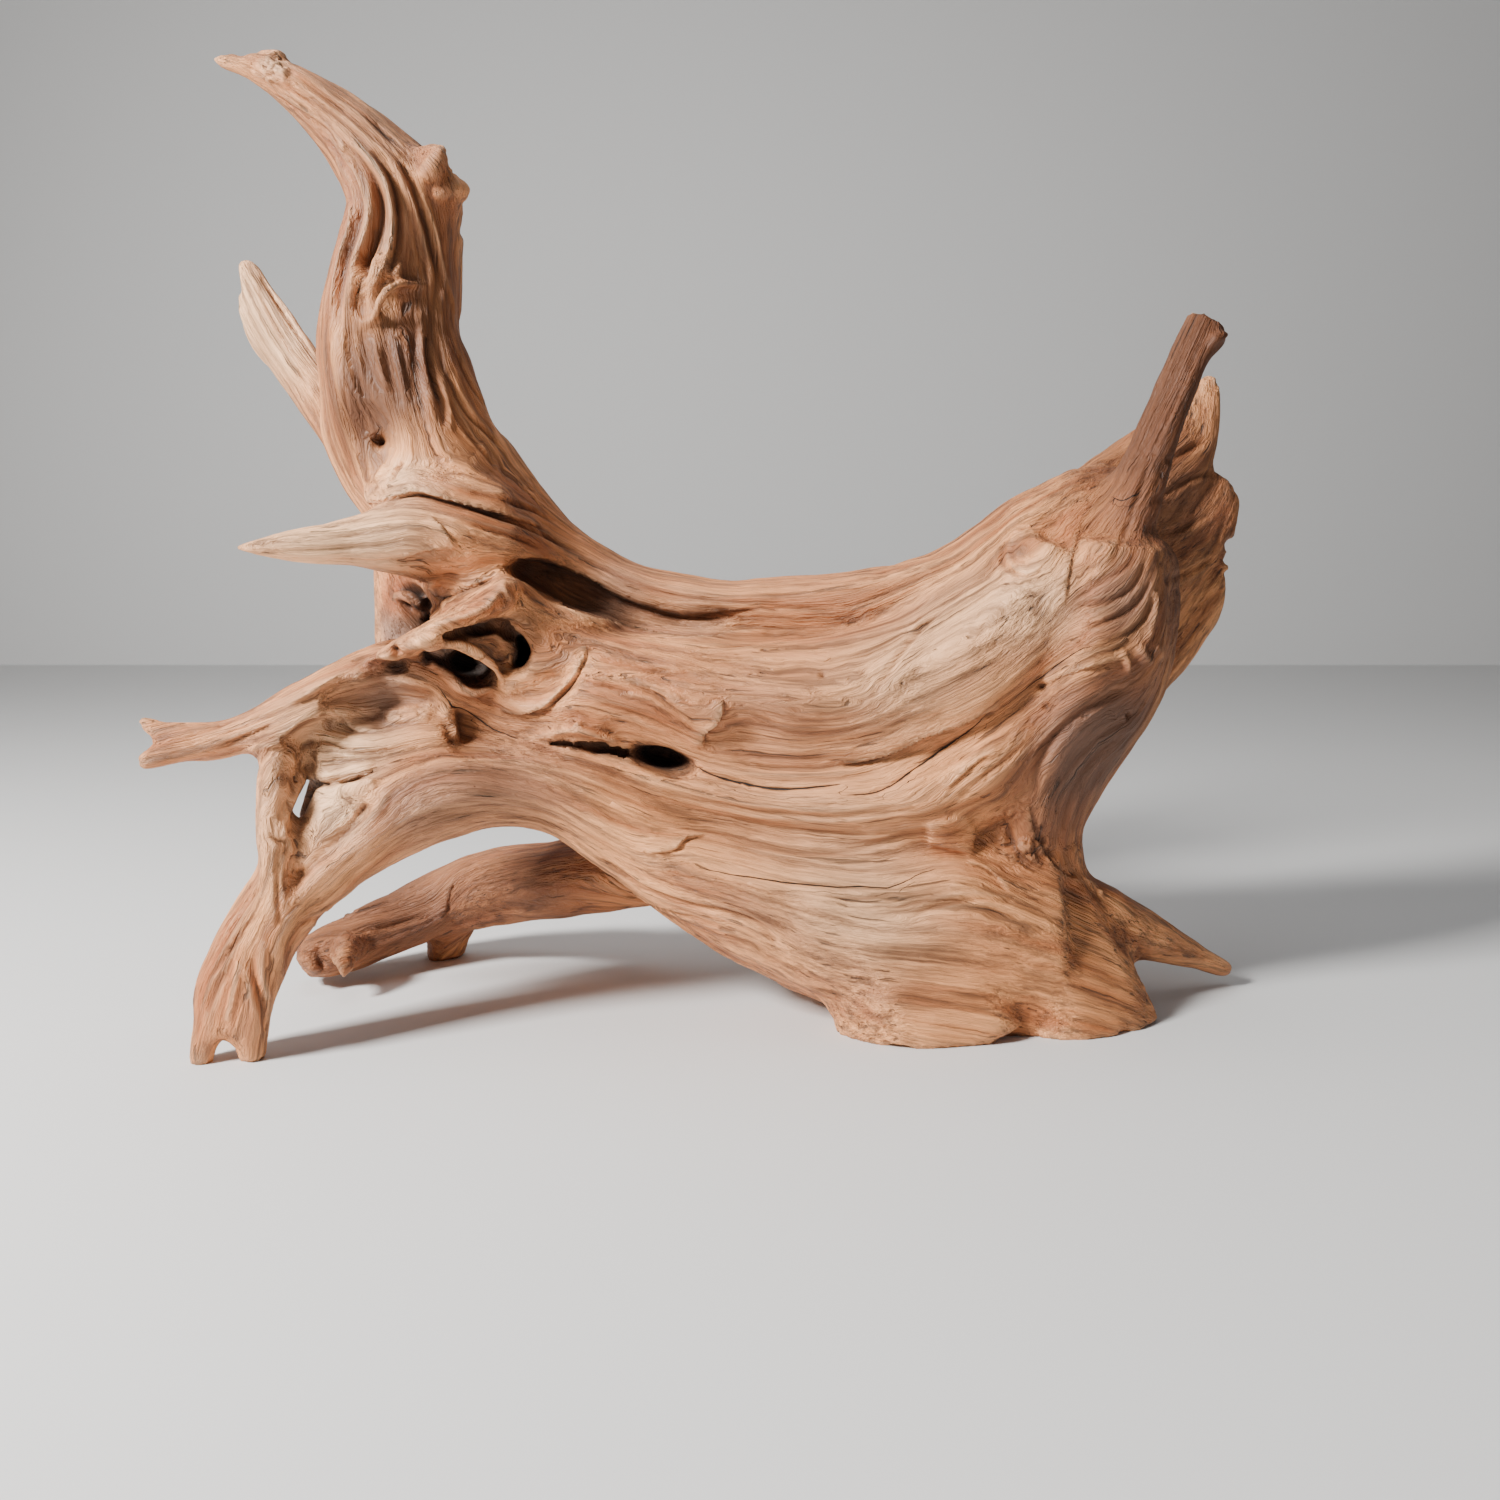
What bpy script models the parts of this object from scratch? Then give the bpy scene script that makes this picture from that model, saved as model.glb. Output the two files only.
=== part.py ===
# A piece of driftwood: the worn root end of a small tree, grown in one piece.
# It arches over the floor from a base on the right to two feet on the left. A horn
# rises from its left end, with a spike and a forked root below it, and a thin ragged
# shell and the stub of a branch stand at its right end.
# Sizes are in metres, +Z is up, and the front of the wood faces -Y.

import math
import random

import bmesh
import bpy
from mathutils import Vector

# How the skin is made.
SKIN_CELL = 0.0045
SKIN_SMOOTHING = 7
HOLLOW_SMOOTHING = 3
RIM_SMOOTHING = 2
MOST_TRIANGLES = 11400
RING_POINTS = 28
RINGS_PER_SPAN = 5

# The sawn end of the stub branch, and the direction that it faces.
SAWN_END = (0.3875, 0.030, 0.563)
SAWN_WAY = (0.38, 0.16, 0.91)
BLOCK_SIZE = 2.0
SAW_BLOCK_SIZE = 0.1

# Long ribs of the wood: how many go round a limb, and how far they stand out of it.
BROAD_RIBS = 3
BROAD_RIB_SHARE = 0.06
FINE_RIBS = 7
FINE_RIB_SHARE = 0.04
RIB_TWIST = 0.5

# Each row is a place on a limb's centre line (x, y, z), then its half width across the
# view from the front, and its half depth from front to back.
LIMBS = {
    "horn": [
        (-0.138, 0.020, 0.305, 0.050, 0.060),
        (-0.185, 0.020, 0.371, 0.059, 0.070),
        (-0.229, 0.020, 0.427, 0.062, 0.070),
        (-0.251, 0.020, 0.467, 0.065, 0.068),
        (-0.261, 0.020, 0.502, 0.063, 0.065),
        (-0.268, 0.020, 0.541, 0.058, 0.060),
        (-0.266, 0.020, 0.576, 0.053, 0.055),
        (-0.259, 0.020, 0.618, 0.048, 0.050),
        (-0.255, 0.015, 0.647, 0.044, 0.046),
        (-0.270, 0.010, 0.676, 0.034, 0.040),
        (-0.291, 0.005, 0.700, 0.027, 0.032),
        (-0.310, 0.000, 0.717, 0.022, 0.026),
        (-0.330, -0.005, 0.731, 0.018, 0.020),
        (-0.351, -0.010, 0.740, 0.012, 0.014),
        (-0.372, -0.013, 0.744, 0.008, 0.009),
        (-0.390, -0.015, 0.746, 0.004, 0.006),
    ],
    "upper knot of the horn": [
        (-0.240, 0.000, 0.647, 0.018, 0.022),
        (-0.226, -0.005, 0.667, 0.014, 0.018),
        (-0.218, -0.005, 0.687, 0.009, 0.011),
    ],
    "side knot of the horn": [
        (-0.234, 0.010, 0.646, 0.017, 0.022),
        (-0.215, 0.005, 0.654, 0.013, 0.016),
        (-0.198, 0.000, 0.659, 0.009, 0.012),
    ],
    "hooked lip of the horn": [
        (-0.280, -0.018, 0.560, 0.008, 0.014),
        (-0.275, -0.032, 0.579, 0.008, 0.012),
        (-0.262, -0.034, 0.588, 0.007, 0.012),
        (-0.243, -0.028, 0.587, 0.006, 0.010),
    ],
    "blade": [
        (-0.260, 0.060, 0.395, 0.030, 0.025),
        (-0.307, 0.070, 0.454, 0.025, 0.020),
        (-0.341, 0.080, 0.500, 0.023, 0.015),
        (-0.368, 0.085, 0.538, 0.024, 0.013),
        (-0.392, 0.090, 0.572, 0.024, 0.012),
        (-0.401, 0.090, 0.600, 0.016, 0.010),
        (-0.407, 0.090, 0.624, 0.009, 0.007),
    ],
    "spike": [
        (-0.178, -0.020, 0.378, 0.040, 0.040),
        (-0.221, -0.045, 0.388, 0.034, 0.038),
        (-0.254, -0.060, 0.389, 0.026, 0.030),
        (-0.288, -0.075, 0.385, 0.017, 0.022),
        (-0.320, -0.090, 0.383, 0.012, 0.015),
        (-0.345, -0.098, 0.382, 0.008, 0.010),
        (-0.362, -0.104, 0.381, 0.005, 0.006),
    ],
    "fold below the horn": [
        (-0.276, -0.030, 0.421, 0.008, 0.014),
        (-0.252, -0.044, 0.423, 0.009, 0.016),
        (-0.225, -0.050, 0.427, 0.010, 0.016),
        (-0.198, -0.048, 0.427, 0.009, 0.015),
        (-0.165, -0.040, 0.418, 0.008, 0.014),
    ],
    "curled lip over the knot": [
        (-0.262, -0.080, 0.297, 0.009, 0.018),
        (-0.228, -0.084, 0.314, 0.010, 0.020),
        (-0.197, -0.082, 0.328, 0.010, 0.022),
        (-0.172, -0.070, 0.343, 0.010, 0.022),
        (-0.158, -0.055, 0.358, 0.008, 0.018),
    ],
    "wall behind the spike": [
        (-0.280, 0.060, 0.412, 0.025, 0.040),
        (-0.269, 0.060, 0.370, 0.028, 0.045),
        (-0.267, 0.050, 0.328, 0.029, 0.045),
        (-0.251, 0.040, 0.278, 0.038, 0.050),
        (-0.214, 0.020, 0.238, 0.038, 0.050),
    ],
    "left root": [
        (-0.150, -0.010, 0.267, 0.041, 0.050),
        (-0.213, -0.020, 0.276, 0.034, 0.050),
        (-0.264, -0.040, 0.278, 0.030, 0.045),
        (-0.302, -0.060, 0.267, 0.025, 0.036),
        (-0.334, -0.080, 0.253, 0.021, 0.030),
        (-0.366, -0.090, 0.242, 0.015, 0.022),
        (-0.392, -0.100, 0.238, 0.010, 0.015),
    ],
    "upper tine of the left root": [
        (-0.372, -0.095, 0.242, 0.012, 0.014),
        (-0.400, -0.102, 0.243, 0.010, 0.011),
        (-0.422, -0.108, 0.249, 0.008, 0.009),
        (-0.437, -0.110, 0.258, 0.006, 0.006),
    ],
    "lower tine of the left root": [
        (-0.372, -0.095, 0.236, 0.012, 0.014),
        (-0.397, -0.102, 0.232, 0.010, 0.012),
        (-0.416, -0.110, 0.228, 0.009, 0.011),
        (-0.433, -0.118, 0.223, 0.009, 0.010),
    ],
    "web under the left root": [
        (-0.225, -0.040, 0.232, 0.028, 0.040),
        (-0.275, -0.062, 0.222, 0.026, 0.030),
        (-0.315, -0.080, 0.222, 0.022, 0.022),
    ],
    "web behind the front leg": [
        (-0.245, -0.035, 0.238, 0.018, 0.022),
        (-0.208, -0.030, 0.238, 0.020, 0.026),
        (-0.170, -0.025, 0.236, 0.018, 0.022),
    ],
    "back wall of the scoop": [
        (-0.272, -0.070, 0.220, 0.020, 0.012),
        (-0.294, -0.080, 0.202, 0.015, 0.010),
        (-0.306, -0.092, 0.180, 0.010, 0.009),
        (-0.318, -0.104, 0.150, 0.010, 0.009),
    ],
    "dangling root": [
        (-0.335, -0.070, 0.242, 0.019, 0.025),
        (-0.336, -0.105, 0.213, 0.015, 0.018),
        (-0.336, -0.120, 0.175, 0.012, 0.015),
        (-0.333, -0.130, 0.139, 0.010, 0.013),
        (-0.330, -0.135, 0.110, 0.007, 0.010),
        (-0.329, -0.135, 0.090, 0.003, 0.005),
    ],
    "front leg": [
        (-0.372, -0.130, 0.020, 0.027, 0.018),
        (-0.364, -0.128, 0.054, 0.031, 0.022),
        (-0.347, -0.120, 0.094, 0.030, 0.028),
        (-0.321, -0.105, 0.133, 0.032, 0.030),
        (-0.284, -0.090, 0.165, 0.036, 0.032),
        (-0.235, -0.075, 0.189, 0.036, 0.038),
        (-0.178, -0.050, 0.197, 0.035, 0.045),
        (-0.117, -0.030, 0.192, 0.040, 0.055),
    ],
    "outer toe": [
        (-0.376, -0.130, 0.039, 0.020, 0.015),
        (-0.388, -0.135, 0.020, 0.012, 0.012),
        (-0.394, -0.135, -0.010, 0.008, 0.010),
    ],
    "inner toe": [
        (-0.362, -0.130, 0.047, 0.021, 0.018),
        (-0.356, -0.130, 0.019, 0.014, 0.015),
        (-0.355, -0.130, -0.010, 0.008, 0.012),
    ],
    "rear leg": [
        (-0.041, 0.050, 0.119, 0.044, 0.050),
        (-0.096, 0.070, 0.098, 0.039, 0.045),
        (-0.152, 0.090, 0.084, 0.036, 0.040),
        (-0.210, 0.105, 0.075, 0.037, 0.036),
        (-0.261, 0.105, 0.061, 0.031, 0.032),
        (-0.302, 0.085, 0.044, 0.027, 0.030),
        (-0.339, 0.055, 0.032, 0.026, 0.028),
        (-0.371, 0.030, 0.024, 0.018, 0.022),
    ],
    "knob of the rear leg": [
        (-0.327, 0.030, 0.044, 0.014, 0.018),
        (-0.324, 0.005, 0.032, 0.009, 0.012),
        (-0.318, -0.005, 0.022, 0.005, 0.007),
    ],
    "rear foot": [
        (-0.252, 0.110, 0.058, 0.024, 0.030),
        (-0.262, 0.120, 0.026, 0.021, 0.024),
        (-0.268, 0.125, -0.010, 0.018, 0.020),
    ],
    "left shoulder": [
        (-0.206, 0.000, 0.371, 0.044, 0.055),
        (-0.165, -0.010, 0.323, 0.056, 0.060),
        (-0.126, -0.010, 0.275, 0.061, 0.065),
        (-0.093, -0.020, 0.227, 0.057, 0.065),
    ],
    "upper trunk": [
        (-0.209, 0.000, 0.266, 0.037, 0.050),
        (-0.133, -0.020, 0.268, 0.050, 0.065),
        (-0.061, -0.020, 0.263, 0.054, 0.070),
        (0.020, -0.020, 0.255, 0.057, 0.070),
        (0.101, -0.015, 0.256, 0.059, 0.070),
        (0.174, -0.010, 0.278, 0.062, 0.070),
        (0.232, 0.000, 0.315, 0.065, 0.065),
        (0.273, 0.010, 0.363, 0.057, 0.060),
    ],
    "belly of the trunk": [
        (-0.150, -0.030, 0.228, 0.030, 0.045),
        (-0.084, -0.020, 0.210, 0.038, 0.060),
        (-0.020, -0.015, 0.195, 0.048, 0.066),
        (0.060, -0.010, 0.182, 0.056, 0.071),
        (0.140, -0.010, 0.184, 0.062, 0.073),
        (0.204, -0.005, 0.206, 0.062, 0.070),
        (0.252, 0.000, 0.246, 0.054, 0.062),
    ],
    "lower trunk": [
        (-0.163, -0.040, 0.200, 0.035, 0.050),
        (-0.117, -0.035, 0.187, 0.040, 0.055),
        (-0.069, -0.030, 0.158, 0.048, 0.060),
        (-0.021, -0.025, 0.132, 0.057, 0.068),
        (0.036, -0.025, 0.106, 0.070, 0.074),
        (0.111, -0.025, 0.084, 0.084, 0.080),
        (0.185, -0.020, 0.076, 0.090, 0.080),
        (0.261, -0.010, 0.076, 0.084, 0.076),
    ],
    "saddle": [
        (-0.210, 0.030, 0.444, 0.040, 0.045),
        (-0.162, 0.030, 0.395, 0.031, 0.045),
        (-0.113, 0.030, 0.358, 0.027, 0.042),
        (-0.063, 0.030, 0.338, 0.027, 0.042),
        (-0.005, 0.030, 0.328, 0.028, 0.042),
        (0.062, 0.030, 0.328, 0.032, 0.042),
        (0.128, 0.030, 0.335, 0.030, 0.042),
        (0.186, 0.030, 0.349, 0.031, 0.044),
        (0.235, 0.030, 0.376, 0.036, 0.046),
        (0.286, 0.040, 0.400, 0.040, 0.048),
        (0.333, 0.060, 0.414, 0.040, 0.040),
    ],
    "column": [
        (0.308, 0.010, 0.387, 0.057, 0.060),
        (0.303, 0.010, 0.330, 0.069, 0.070),
        (0.286, 0.000, 0.274, 0.069, 0.070),
        (0.261, 0.000, 0.216, 0.059, 0.065),
        (0.242, 0.000, 0.157, 0.054, 0.060),
        (0.244, 0.000, 0.106, 0.056, 0.065),
        (0.252, -0.005, 0.058, 0.068, 0.078),
        (0.262, -0.005, 0.010, 0.086, 0.090),
        (0.270, -0.005, -0.030, 0.096, 0.096),
    ],
    "right root": [
        (0.226, -0.020, 0.089, 0.045, 0.050),
        (0.306, 0.000, 0.074, 0.032, 0.040),
        (0.372, 0.020, 0.046, 0.018, 0.025),
        (0.443, 0.040, 0.012, 0.008, 0.010),
    ],
    "front of the base": [
        (0.115, -0.030, 0.085, 0.066, 0.060),
        (0.150, -0.048, 0.035, 0.072, 0.062),
        (0.175, -0.058, -0.020, 0.078, 0.060),
    ],
    "stub branch": [
        (0.304, 0.000, 0.331, 0.039, 0.040),
        (0.316, 0.000, 0.383, 0.029, 0.030),
        (0.341, 0.010, 0.447, 0.020, 0.021),
        (0.366, 0.020, 0.510, 0.017, 0.018),
        (0.388, 0.030, 0.564, 0.015, 0.016),
        (0.400, 0.035, 0.593, 0.015, 0.016),
    ],
    "bud of the stub branch": [
        (0.383, 0.025, 0.537, 0.012, 0.013),
        (0.396, 0.023, 0.545, 0.010, 0.011),
        (0.406, 0.022, 0.550, 0.008, 0.008),
    ],
    "top of the shell": [
        (0.284, 0.060, 0.370, 0.051, 0.040),
        (0.349, 0.090, 0.421, 0.048, 0.028),
        (0.396, 0.110, 0.465, 0.038, 0.018),
        (0.420, 0.120, 0.505, 0.018, 0.012),
        (0.423, 0.122, 0.532, 0.008, 0.008),
    ],
    "middle of the shell": [
        (0.300, 0.050, 0.320, 0.059, 0.040),
        (0.369, 0.090, 0.365, 0.054, 0.030),
        (0.417, 0.110, 0.408, 0.040, 0.020),
        (0.447, 0.115, 0.435, 0.016, 0.009),
    ],
    "foot of the shell": [
        (0.283, 0.040, 0.252, 0.059, 0.040),
        (0.352, 0.080, 0.296, 0.057, 0.030),
        (0.409, 0.100, 0.334, 0.037, 0.020),
        (0.440, 0.100, 0.356, 0.011, 0.009),
    ],
    "back of the shoulder": [
        (-0.235, 0.045, 0.400, 0.050, 0.045),
        (-0.190, 0.060, 0.330, 0.055, 0.045),
        (-0.150, 0.055, 0.260, 0.055, 0.050),
        (-0.120, 0.040, 0.200, 0.040, 0.045),
    ],
    "back of the trunk": [
        (-0.190, 0.055, 0.330, 0.040, 0.040),
        (-0.120, 0.064, 0.288, 0.054, 0.046),
        (-0.041, 0.068, 0.262, 0.062, 0.050),
        (0.060, 0.074, 0.252, 0.066, 0.054),
        (0.150, 0.078, 0.266, 0.064, 0.052),
        (0.230, 0.074, 0.310, 0.062, 0.050),
        (0.289, 0.070, 0.356, 0.050, 0.042),
    ],
    "back of the belly": [
        (-0.080, 0.050, 0.180, 0.038, 0.045),
        (0.010, 0.060, 0.168, 0.052, 0.052),
        (0.100, 0.060, 0.150, 0.064, 0.058),
        (0.190, 0.055, 0.130, 0.070, 0.060),
        (0.250, 0.045, 0.090, 0.060, 0.056),
    ],
    "back root": [
        (0.120, 0.080, 0.170, 0.050, 0.040),
        (0.150, 0.112, 0.104, 0.044, 0.034),
        (0.172, 0.140, 0.052, 0.034, 0.030),
        (0.196, 0.162, 0.012, 0.026, 0.026),
        (0.206, 0.170, -0.015, 0.020, 0.022),
    ],
    "side toe of the back root": [
        (0.158, 0.128, 0.070, 0.026, 0.024),
        (0.132, 0.150, 0.030, 0.018, 0.018),
        (0.118, 0.160, -0.010, 0.013, 0.014),
    ],
}

# Hollows where rotten wood has washed out, in the same rows as the limbs.
HOLLOWS = {
    "hollow under the base": [
        (0.110, -0.020, -0.015, 0.020, 0.020),
        (0.165, -0.020, -0.012, 0.034, 0.040),
        (0.225, -0.010, -0.010, 0.036, 0.046),
        (0.280, 0.000, -0.015, 0.026, 0.034),
    ],
    "long hollow": [
        (-0.167, -0.045, 0.366, 0.006, 0.035),
        (-0.148, -0.045, 0.362, 0.010, 0.045),
        (-0.125, -0.045, 0.351, 0.016, 0.052),
        (-0.094, -0.045, 0.339, 0.015, 0.052),
        (-0.064, -0.045, 0.329, 0.011, 0.050),
        (-0.033, -0.045, 0.323, 0.011, 0.050),
        (-0.003, -0.045, 0.325, 0.009, 0.048),
        (0.028, -0.050, 0.327, 0.009, 0.040),
        (0.047, -0.055, 0.330, 0.005, 0.025),
    ],
    "black hole": [
        (-0.077, -0.085, 0.227, 0.004, 0.020),
        (-0.064, -0.085, 0.223, 0.009, 0.050),
        (-0.049, -0.085, 0.219, 0.012, 0.055),
        (-0.034, -0.085, 0.215, 0.009, 0.045),
        (-0.018, -0.085, 0.211, 0.004, 0.025),
    ],
    "pit of the knot": [
        (-0.165, -0.090, 0.305, 0.018, 0.014),
        (-0.160, -0.060, 0.303, 0.014, 0.014),
        (-0.154, -0.025, 0.297, 0.009, 0.009),
    ],
    "cavity under the lip": [
        (-0.218, -0.075, 0.299, 0.006, 0.030),
        (-0.206, -0.075, 0.294, 0.012, 0.045),
        (-0.193, -0.070, 0.289, 0.012, 0.045),
        (-0.180, -0.070, 0.286, 0.005, 0.020),
    ],
    "cavity under the root": [
        (-0.272, -0.090, 0.290, 0.003, 0.018),
        (-0.252, -0.085, 0.292, 0.006, 0.030),
        (-0.232, -0.080, 0.298, 0.005, 0.028),
    ],
    "weathered dish below the left root": [
        (-0.292, -0.108, 0.268, 0.010, 0.026),
        (-0.268, -0.096, 0.266, 0.016, 0.028),
        (-0.240, -0.090, 0.264, 0.018, 0.028),
        (-0.215, -0.082, 0.268, 0.010, 0.024),
    ],
    "bowl right of the pit": [
        (-0.170, -0.090, 0.268, 0.010, 0.018),
        (-0.137, -0.094, 0.275, 0.018, 0.024),
        (-0.121, -0.094, 0.289, 0.014, 0.022),
        (-0.116, -0.092, 0.300, 0.006, 0.014),
    ],
    "scoop of the front leg": [
        (-0.277, -0.118, 0.206, 0.022, 0.024),
        (-0.283, -0.122, 0.197, 0.026, 0.030),
        (-0.295, -0.131, 0.174, 0.022, 0.030),
        (-0.310, -0.139, 0.153, 0.012, 0.026),
        (-0.320, -0.146, 0.130, 0.006, 0.018),
    ],
    "gap beside the dangling root": [
        (-0.307, -0.090, 0.206, 0.003, 0.050),
        (-0.311, -0.090, 0.194, 0.006, 0.060),
        (-0.316, -0.090, 0.182, 0.004, 0.060),
        (-0.319, -0.090, 0.174, 0.002, 0.050),
    ],
}

WOOD_COLOUR = (0.60, 0.40, 0.26, 1.0)
WOOD_ROUGHNESS = 0.8


def clear_scene():
    for obj in list(bpy.data.objects):
        bpy.data.objects.remove(obj, do_unlink=True)


def curve_value(before, start, end, after, t):
    """The Catmull-Rom value between start and end, at t from 0 to 1."""
    return 0.5 * (
        2 * start
        + (end - before) * t
        + (2 * before - 5 * start + 4 * end - after) * t**2
        + (3 * start - before - 3 * end + after) * t**3
    )


def centre_line(rows):
    """Rows sampled closely along a smooth curve through the given ones."""
    sampled = []
    last = len(rows) - 1
    for span in range(last):
        around = [rows[min(max(span + step, 0), last)] for step in (-1, 0, 1, 2)]
        for ring in range(RINGS_PER_SPAN):
            t = ring / RINGS_PER_SPAN
            sampled.append([curve_value(*values, t) for values in zip(*around)])
    sampled.append(list(rows[-1]))
    return sampled


def rib_height(angle, along, phases):
    """How far the surface stands out at this angle round a limb, as a share of its half width."""
    broad = math.sin(BROAD_RIBS * angle + phases[0] + RIB_TWIST * along)
    fine = math.sin(FINE_RIBS * angle + phases[1] - RIB_TWIST * along)
    return 1 + BROAD_RIB_SHARE * broad + FINE_RIB_SHARE * fine


def add_limb(skin, name, rows):
    """Lofts one closed limb into the bmesh, ring by ring."""
    chance = random.Random(name)
    phases = [chance.uniform(0, math.tau), chance.uniform(0, math.tau)]
    samples = centre_line(rows)
    places = [Vector(sample[:3]) for sample in samples]
    rings = []
    for index, (place, sample) in enumerate(zip(places, samples)):
        ahead = places[min(index + 1, len(places) - 1)]
        behind = places[max(index - 1, 0)]
        along = (ahead - behind).normalized()
        depth = Vector((0, 1, 0))
        depth = (depth - along * depth.dot(along)).normalized()
        across = along.cross(depth)
        half_width = max(sample[3], 0.001)
        half_depth = max(sample[4], 0.001)
        ring = []
        for point in range(RING_POINTS):
            angle = math.tau * point / RING_POINTS
            height = rib_height(angle, index / RINGS_PER_SPAN, phases)
            offset = across * math.cos(angle) * half_width + depth * math.sin(angle) * half_depth
            ring.append(skin.verts.new(place + offset * height))
        rings.append(ring)
    for lower, upper in zip(rings, rings[1:]):
        for point in range(RING_POINTS):
            after = (point + 1) % RING_POINTS
            skin.faces.new((lower[point], lower[after], upper[after], upper[point]))
    skin.faces.new(reversed(rings[0]))
    skin.faces.new(rings[-1])


def limbs_object(name, limbs):
    """One object that holds all these limbs, overlapping."""
    mesh = bpy.data.meshes.new(name)
    skin = bmesh.new()
    for limb_name, rows in limbs.items():
        add_limb(skin, limb_name, rows)
    bmesh.ops.recalc_face_normals(skin, faces=skin.faces)
    skin.to_mesh(mesh)
    skin.free()
    obj = bpy.data.objects.new(name, mesh)
    bpy.context.scene.collection.objects.link(obj)
    return obj


def bake(obj):
    """Puts the result of the object's modifiers into its mesh."""
    graph = bpy.context.evaluated_depsgraph_get()
    graph.update()
    baked = bpy.data.meshes.new_from_object(obj.evaluated_get(graph))
    obj.modifiers.clear()
    obj.data = baked


def grow_together(obj, smoothing):
    """Turns overlapping limbs into one skin, with their joints rounded."""
    skin = obj.modifiers.new("one skin", "REMESH")
    skin.mode = "VOXEL"
    skin.voxel_size = SKIN_CELL
    soften = obj.modifiers.new("worn round", "SMOOTH")
    soften.factor = 0.5
    soften.iterations = smoothing
    bake(obj)


def cut(obj, cutter, solver):
    """Takes the cutter's shape out of the object, and removes the cutter."""
    cutter.hide_render = True
    cutter.display_type = "WIRE"
    opening = obj.modifiers.new("cut", "BOOLEAN")
    opening.operation = "DIFFERENCE"
    opening.solver = solver
    opening.object = cutter
    bake(obj)
    bpy.data.objects.remove(cutter, do_unlink=True)


def block_beyond(name, place, way, size):
    """A cube whose near face is centred on this place and faces back against the given way."""
    mesh = bpy.data.meshes.new(name)
    block = bmesh.new()
    bmesh.ops.create_cube(block, size=size)
    bmesh.ops.translate(block, verts=block.verts, vec=(0, 0, size / 2))
    turn = Vector(way).to_track_quat("Z", "Y").to_matrix()
    bmesh.ops.rotate(block, verts=block.verts, cent=(0, 0, 0), matrix=turn)
    bmesh.ops.translate(block, verts=block.verts, vec=place)
    block.to_mesh(mesh)
    block.free()
    obj = bpy.data.objects.new(name, mesh)
    bpy.context.scene.collection.objects.link(obj)
    return obj


def thin_out(obj):
    """Brings the skin down to the number of triangles allowed."""
    triangles = sum(len(face.vertices) - 2 for face in obj.data.polygons)
    fewer = obj.modifiers.new("fewer faces", "DECIMATE")
    fewer.ratio = MOST_TRIANGLES / triangles
    fewer.use_collapse_triangulate = True
    bake(obj)


def stand_at_origin(obj):
    """Moves the mesh so that its box is centred on the origin and stands on z = 0."""
    places = [vertex.co for vertex in obj.data.vertices]
    lowest = Vector([min(place[axis] for place in places) for axis in range(3)])
    highest = Vector([max(place[axis] for place in places) for axis in range(3)])
    centre = (lowest + highest) / 2
    move = Vector((-centre.x, -centre.y, -lowest.z))
    for vertex in obj.data.vertices:
        vertex.co += move
    return move


def wood_material():
    material = bpy.data.materials.new("driftwood")
    material.use_nodes = True
    surface = material.node_tree.nodes["Principled BSDF"]
    surface.inputs["Base Color"].default_value = WOOD_COLOUR
    surface.inputs["Roughness"].default_value = WOOD_ROUGHNESS
    surface.inputs["Metallic"].default_value = 0.0
    return material


clear_scene()
driftwood = limbs_object("driftwood", LIMBS)
grow_together(driftwood, SKIN_SMOOTHING)
hollows = limbs_object("hollows", HOLLOWS)
grow_together(hollows, HOLLOW_SMOOTHING)
cut(driftwood, hollows, "MANIFOLD")
grow_together(driftwood, RIM_SMOOTHING)
thin_out(driftwood)
cut(driftwood, block_beyond("saw", SAWN_END, SAWN_WAY, SAW_BLOCK_SIZE), "MANIFOLD")
cut(driftwood, block_beyond("floor", (0, 0, 0), (0, 0, -1), BLOCK_SIZE), "MANIFOLD")
moved = stand_at_origin(driftwood)
driftwood.data.materials.clear()
driftwood.data.materials.append(wood_material())
for face in driftwood.data.polygons:
    face.material_index = 0
    face.use_smooth = False
print("driftwood moved by", [round(value, 4) for value in moved])
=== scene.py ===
import math

import bmesh
import bpy
import numpy as np
from mathutils import Matrix, Vector, noise
from mathutils.bvhtree import BVHTree
from mathutils.kdtree import KDTree


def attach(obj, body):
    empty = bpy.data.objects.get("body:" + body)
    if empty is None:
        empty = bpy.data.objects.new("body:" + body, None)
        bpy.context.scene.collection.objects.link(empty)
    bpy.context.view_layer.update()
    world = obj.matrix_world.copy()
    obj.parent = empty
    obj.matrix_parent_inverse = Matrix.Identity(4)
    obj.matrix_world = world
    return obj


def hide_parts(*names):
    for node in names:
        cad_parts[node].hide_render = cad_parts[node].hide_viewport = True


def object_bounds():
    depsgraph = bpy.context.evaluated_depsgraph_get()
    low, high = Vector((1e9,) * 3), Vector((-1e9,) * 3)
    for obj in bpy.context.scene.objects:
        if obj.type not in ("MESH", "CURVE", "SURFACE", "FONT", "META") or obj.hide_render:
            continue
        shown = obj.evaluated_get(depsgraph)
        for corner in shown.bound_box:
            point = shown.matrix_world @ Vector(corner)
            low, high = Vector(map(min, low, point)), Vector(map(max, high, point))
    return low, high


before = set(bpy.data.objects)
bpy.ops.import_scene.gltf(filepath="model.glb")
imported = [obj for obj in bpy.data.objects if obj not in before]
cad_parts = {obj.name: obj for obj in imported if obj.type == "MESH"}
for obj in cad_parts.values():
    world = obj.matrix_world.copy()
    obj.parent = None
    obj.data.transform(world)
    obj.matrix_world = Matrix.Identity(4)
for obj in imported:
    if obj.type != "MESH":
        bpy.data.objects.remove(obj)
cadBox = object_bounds()
print("frame loaded")

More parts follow.
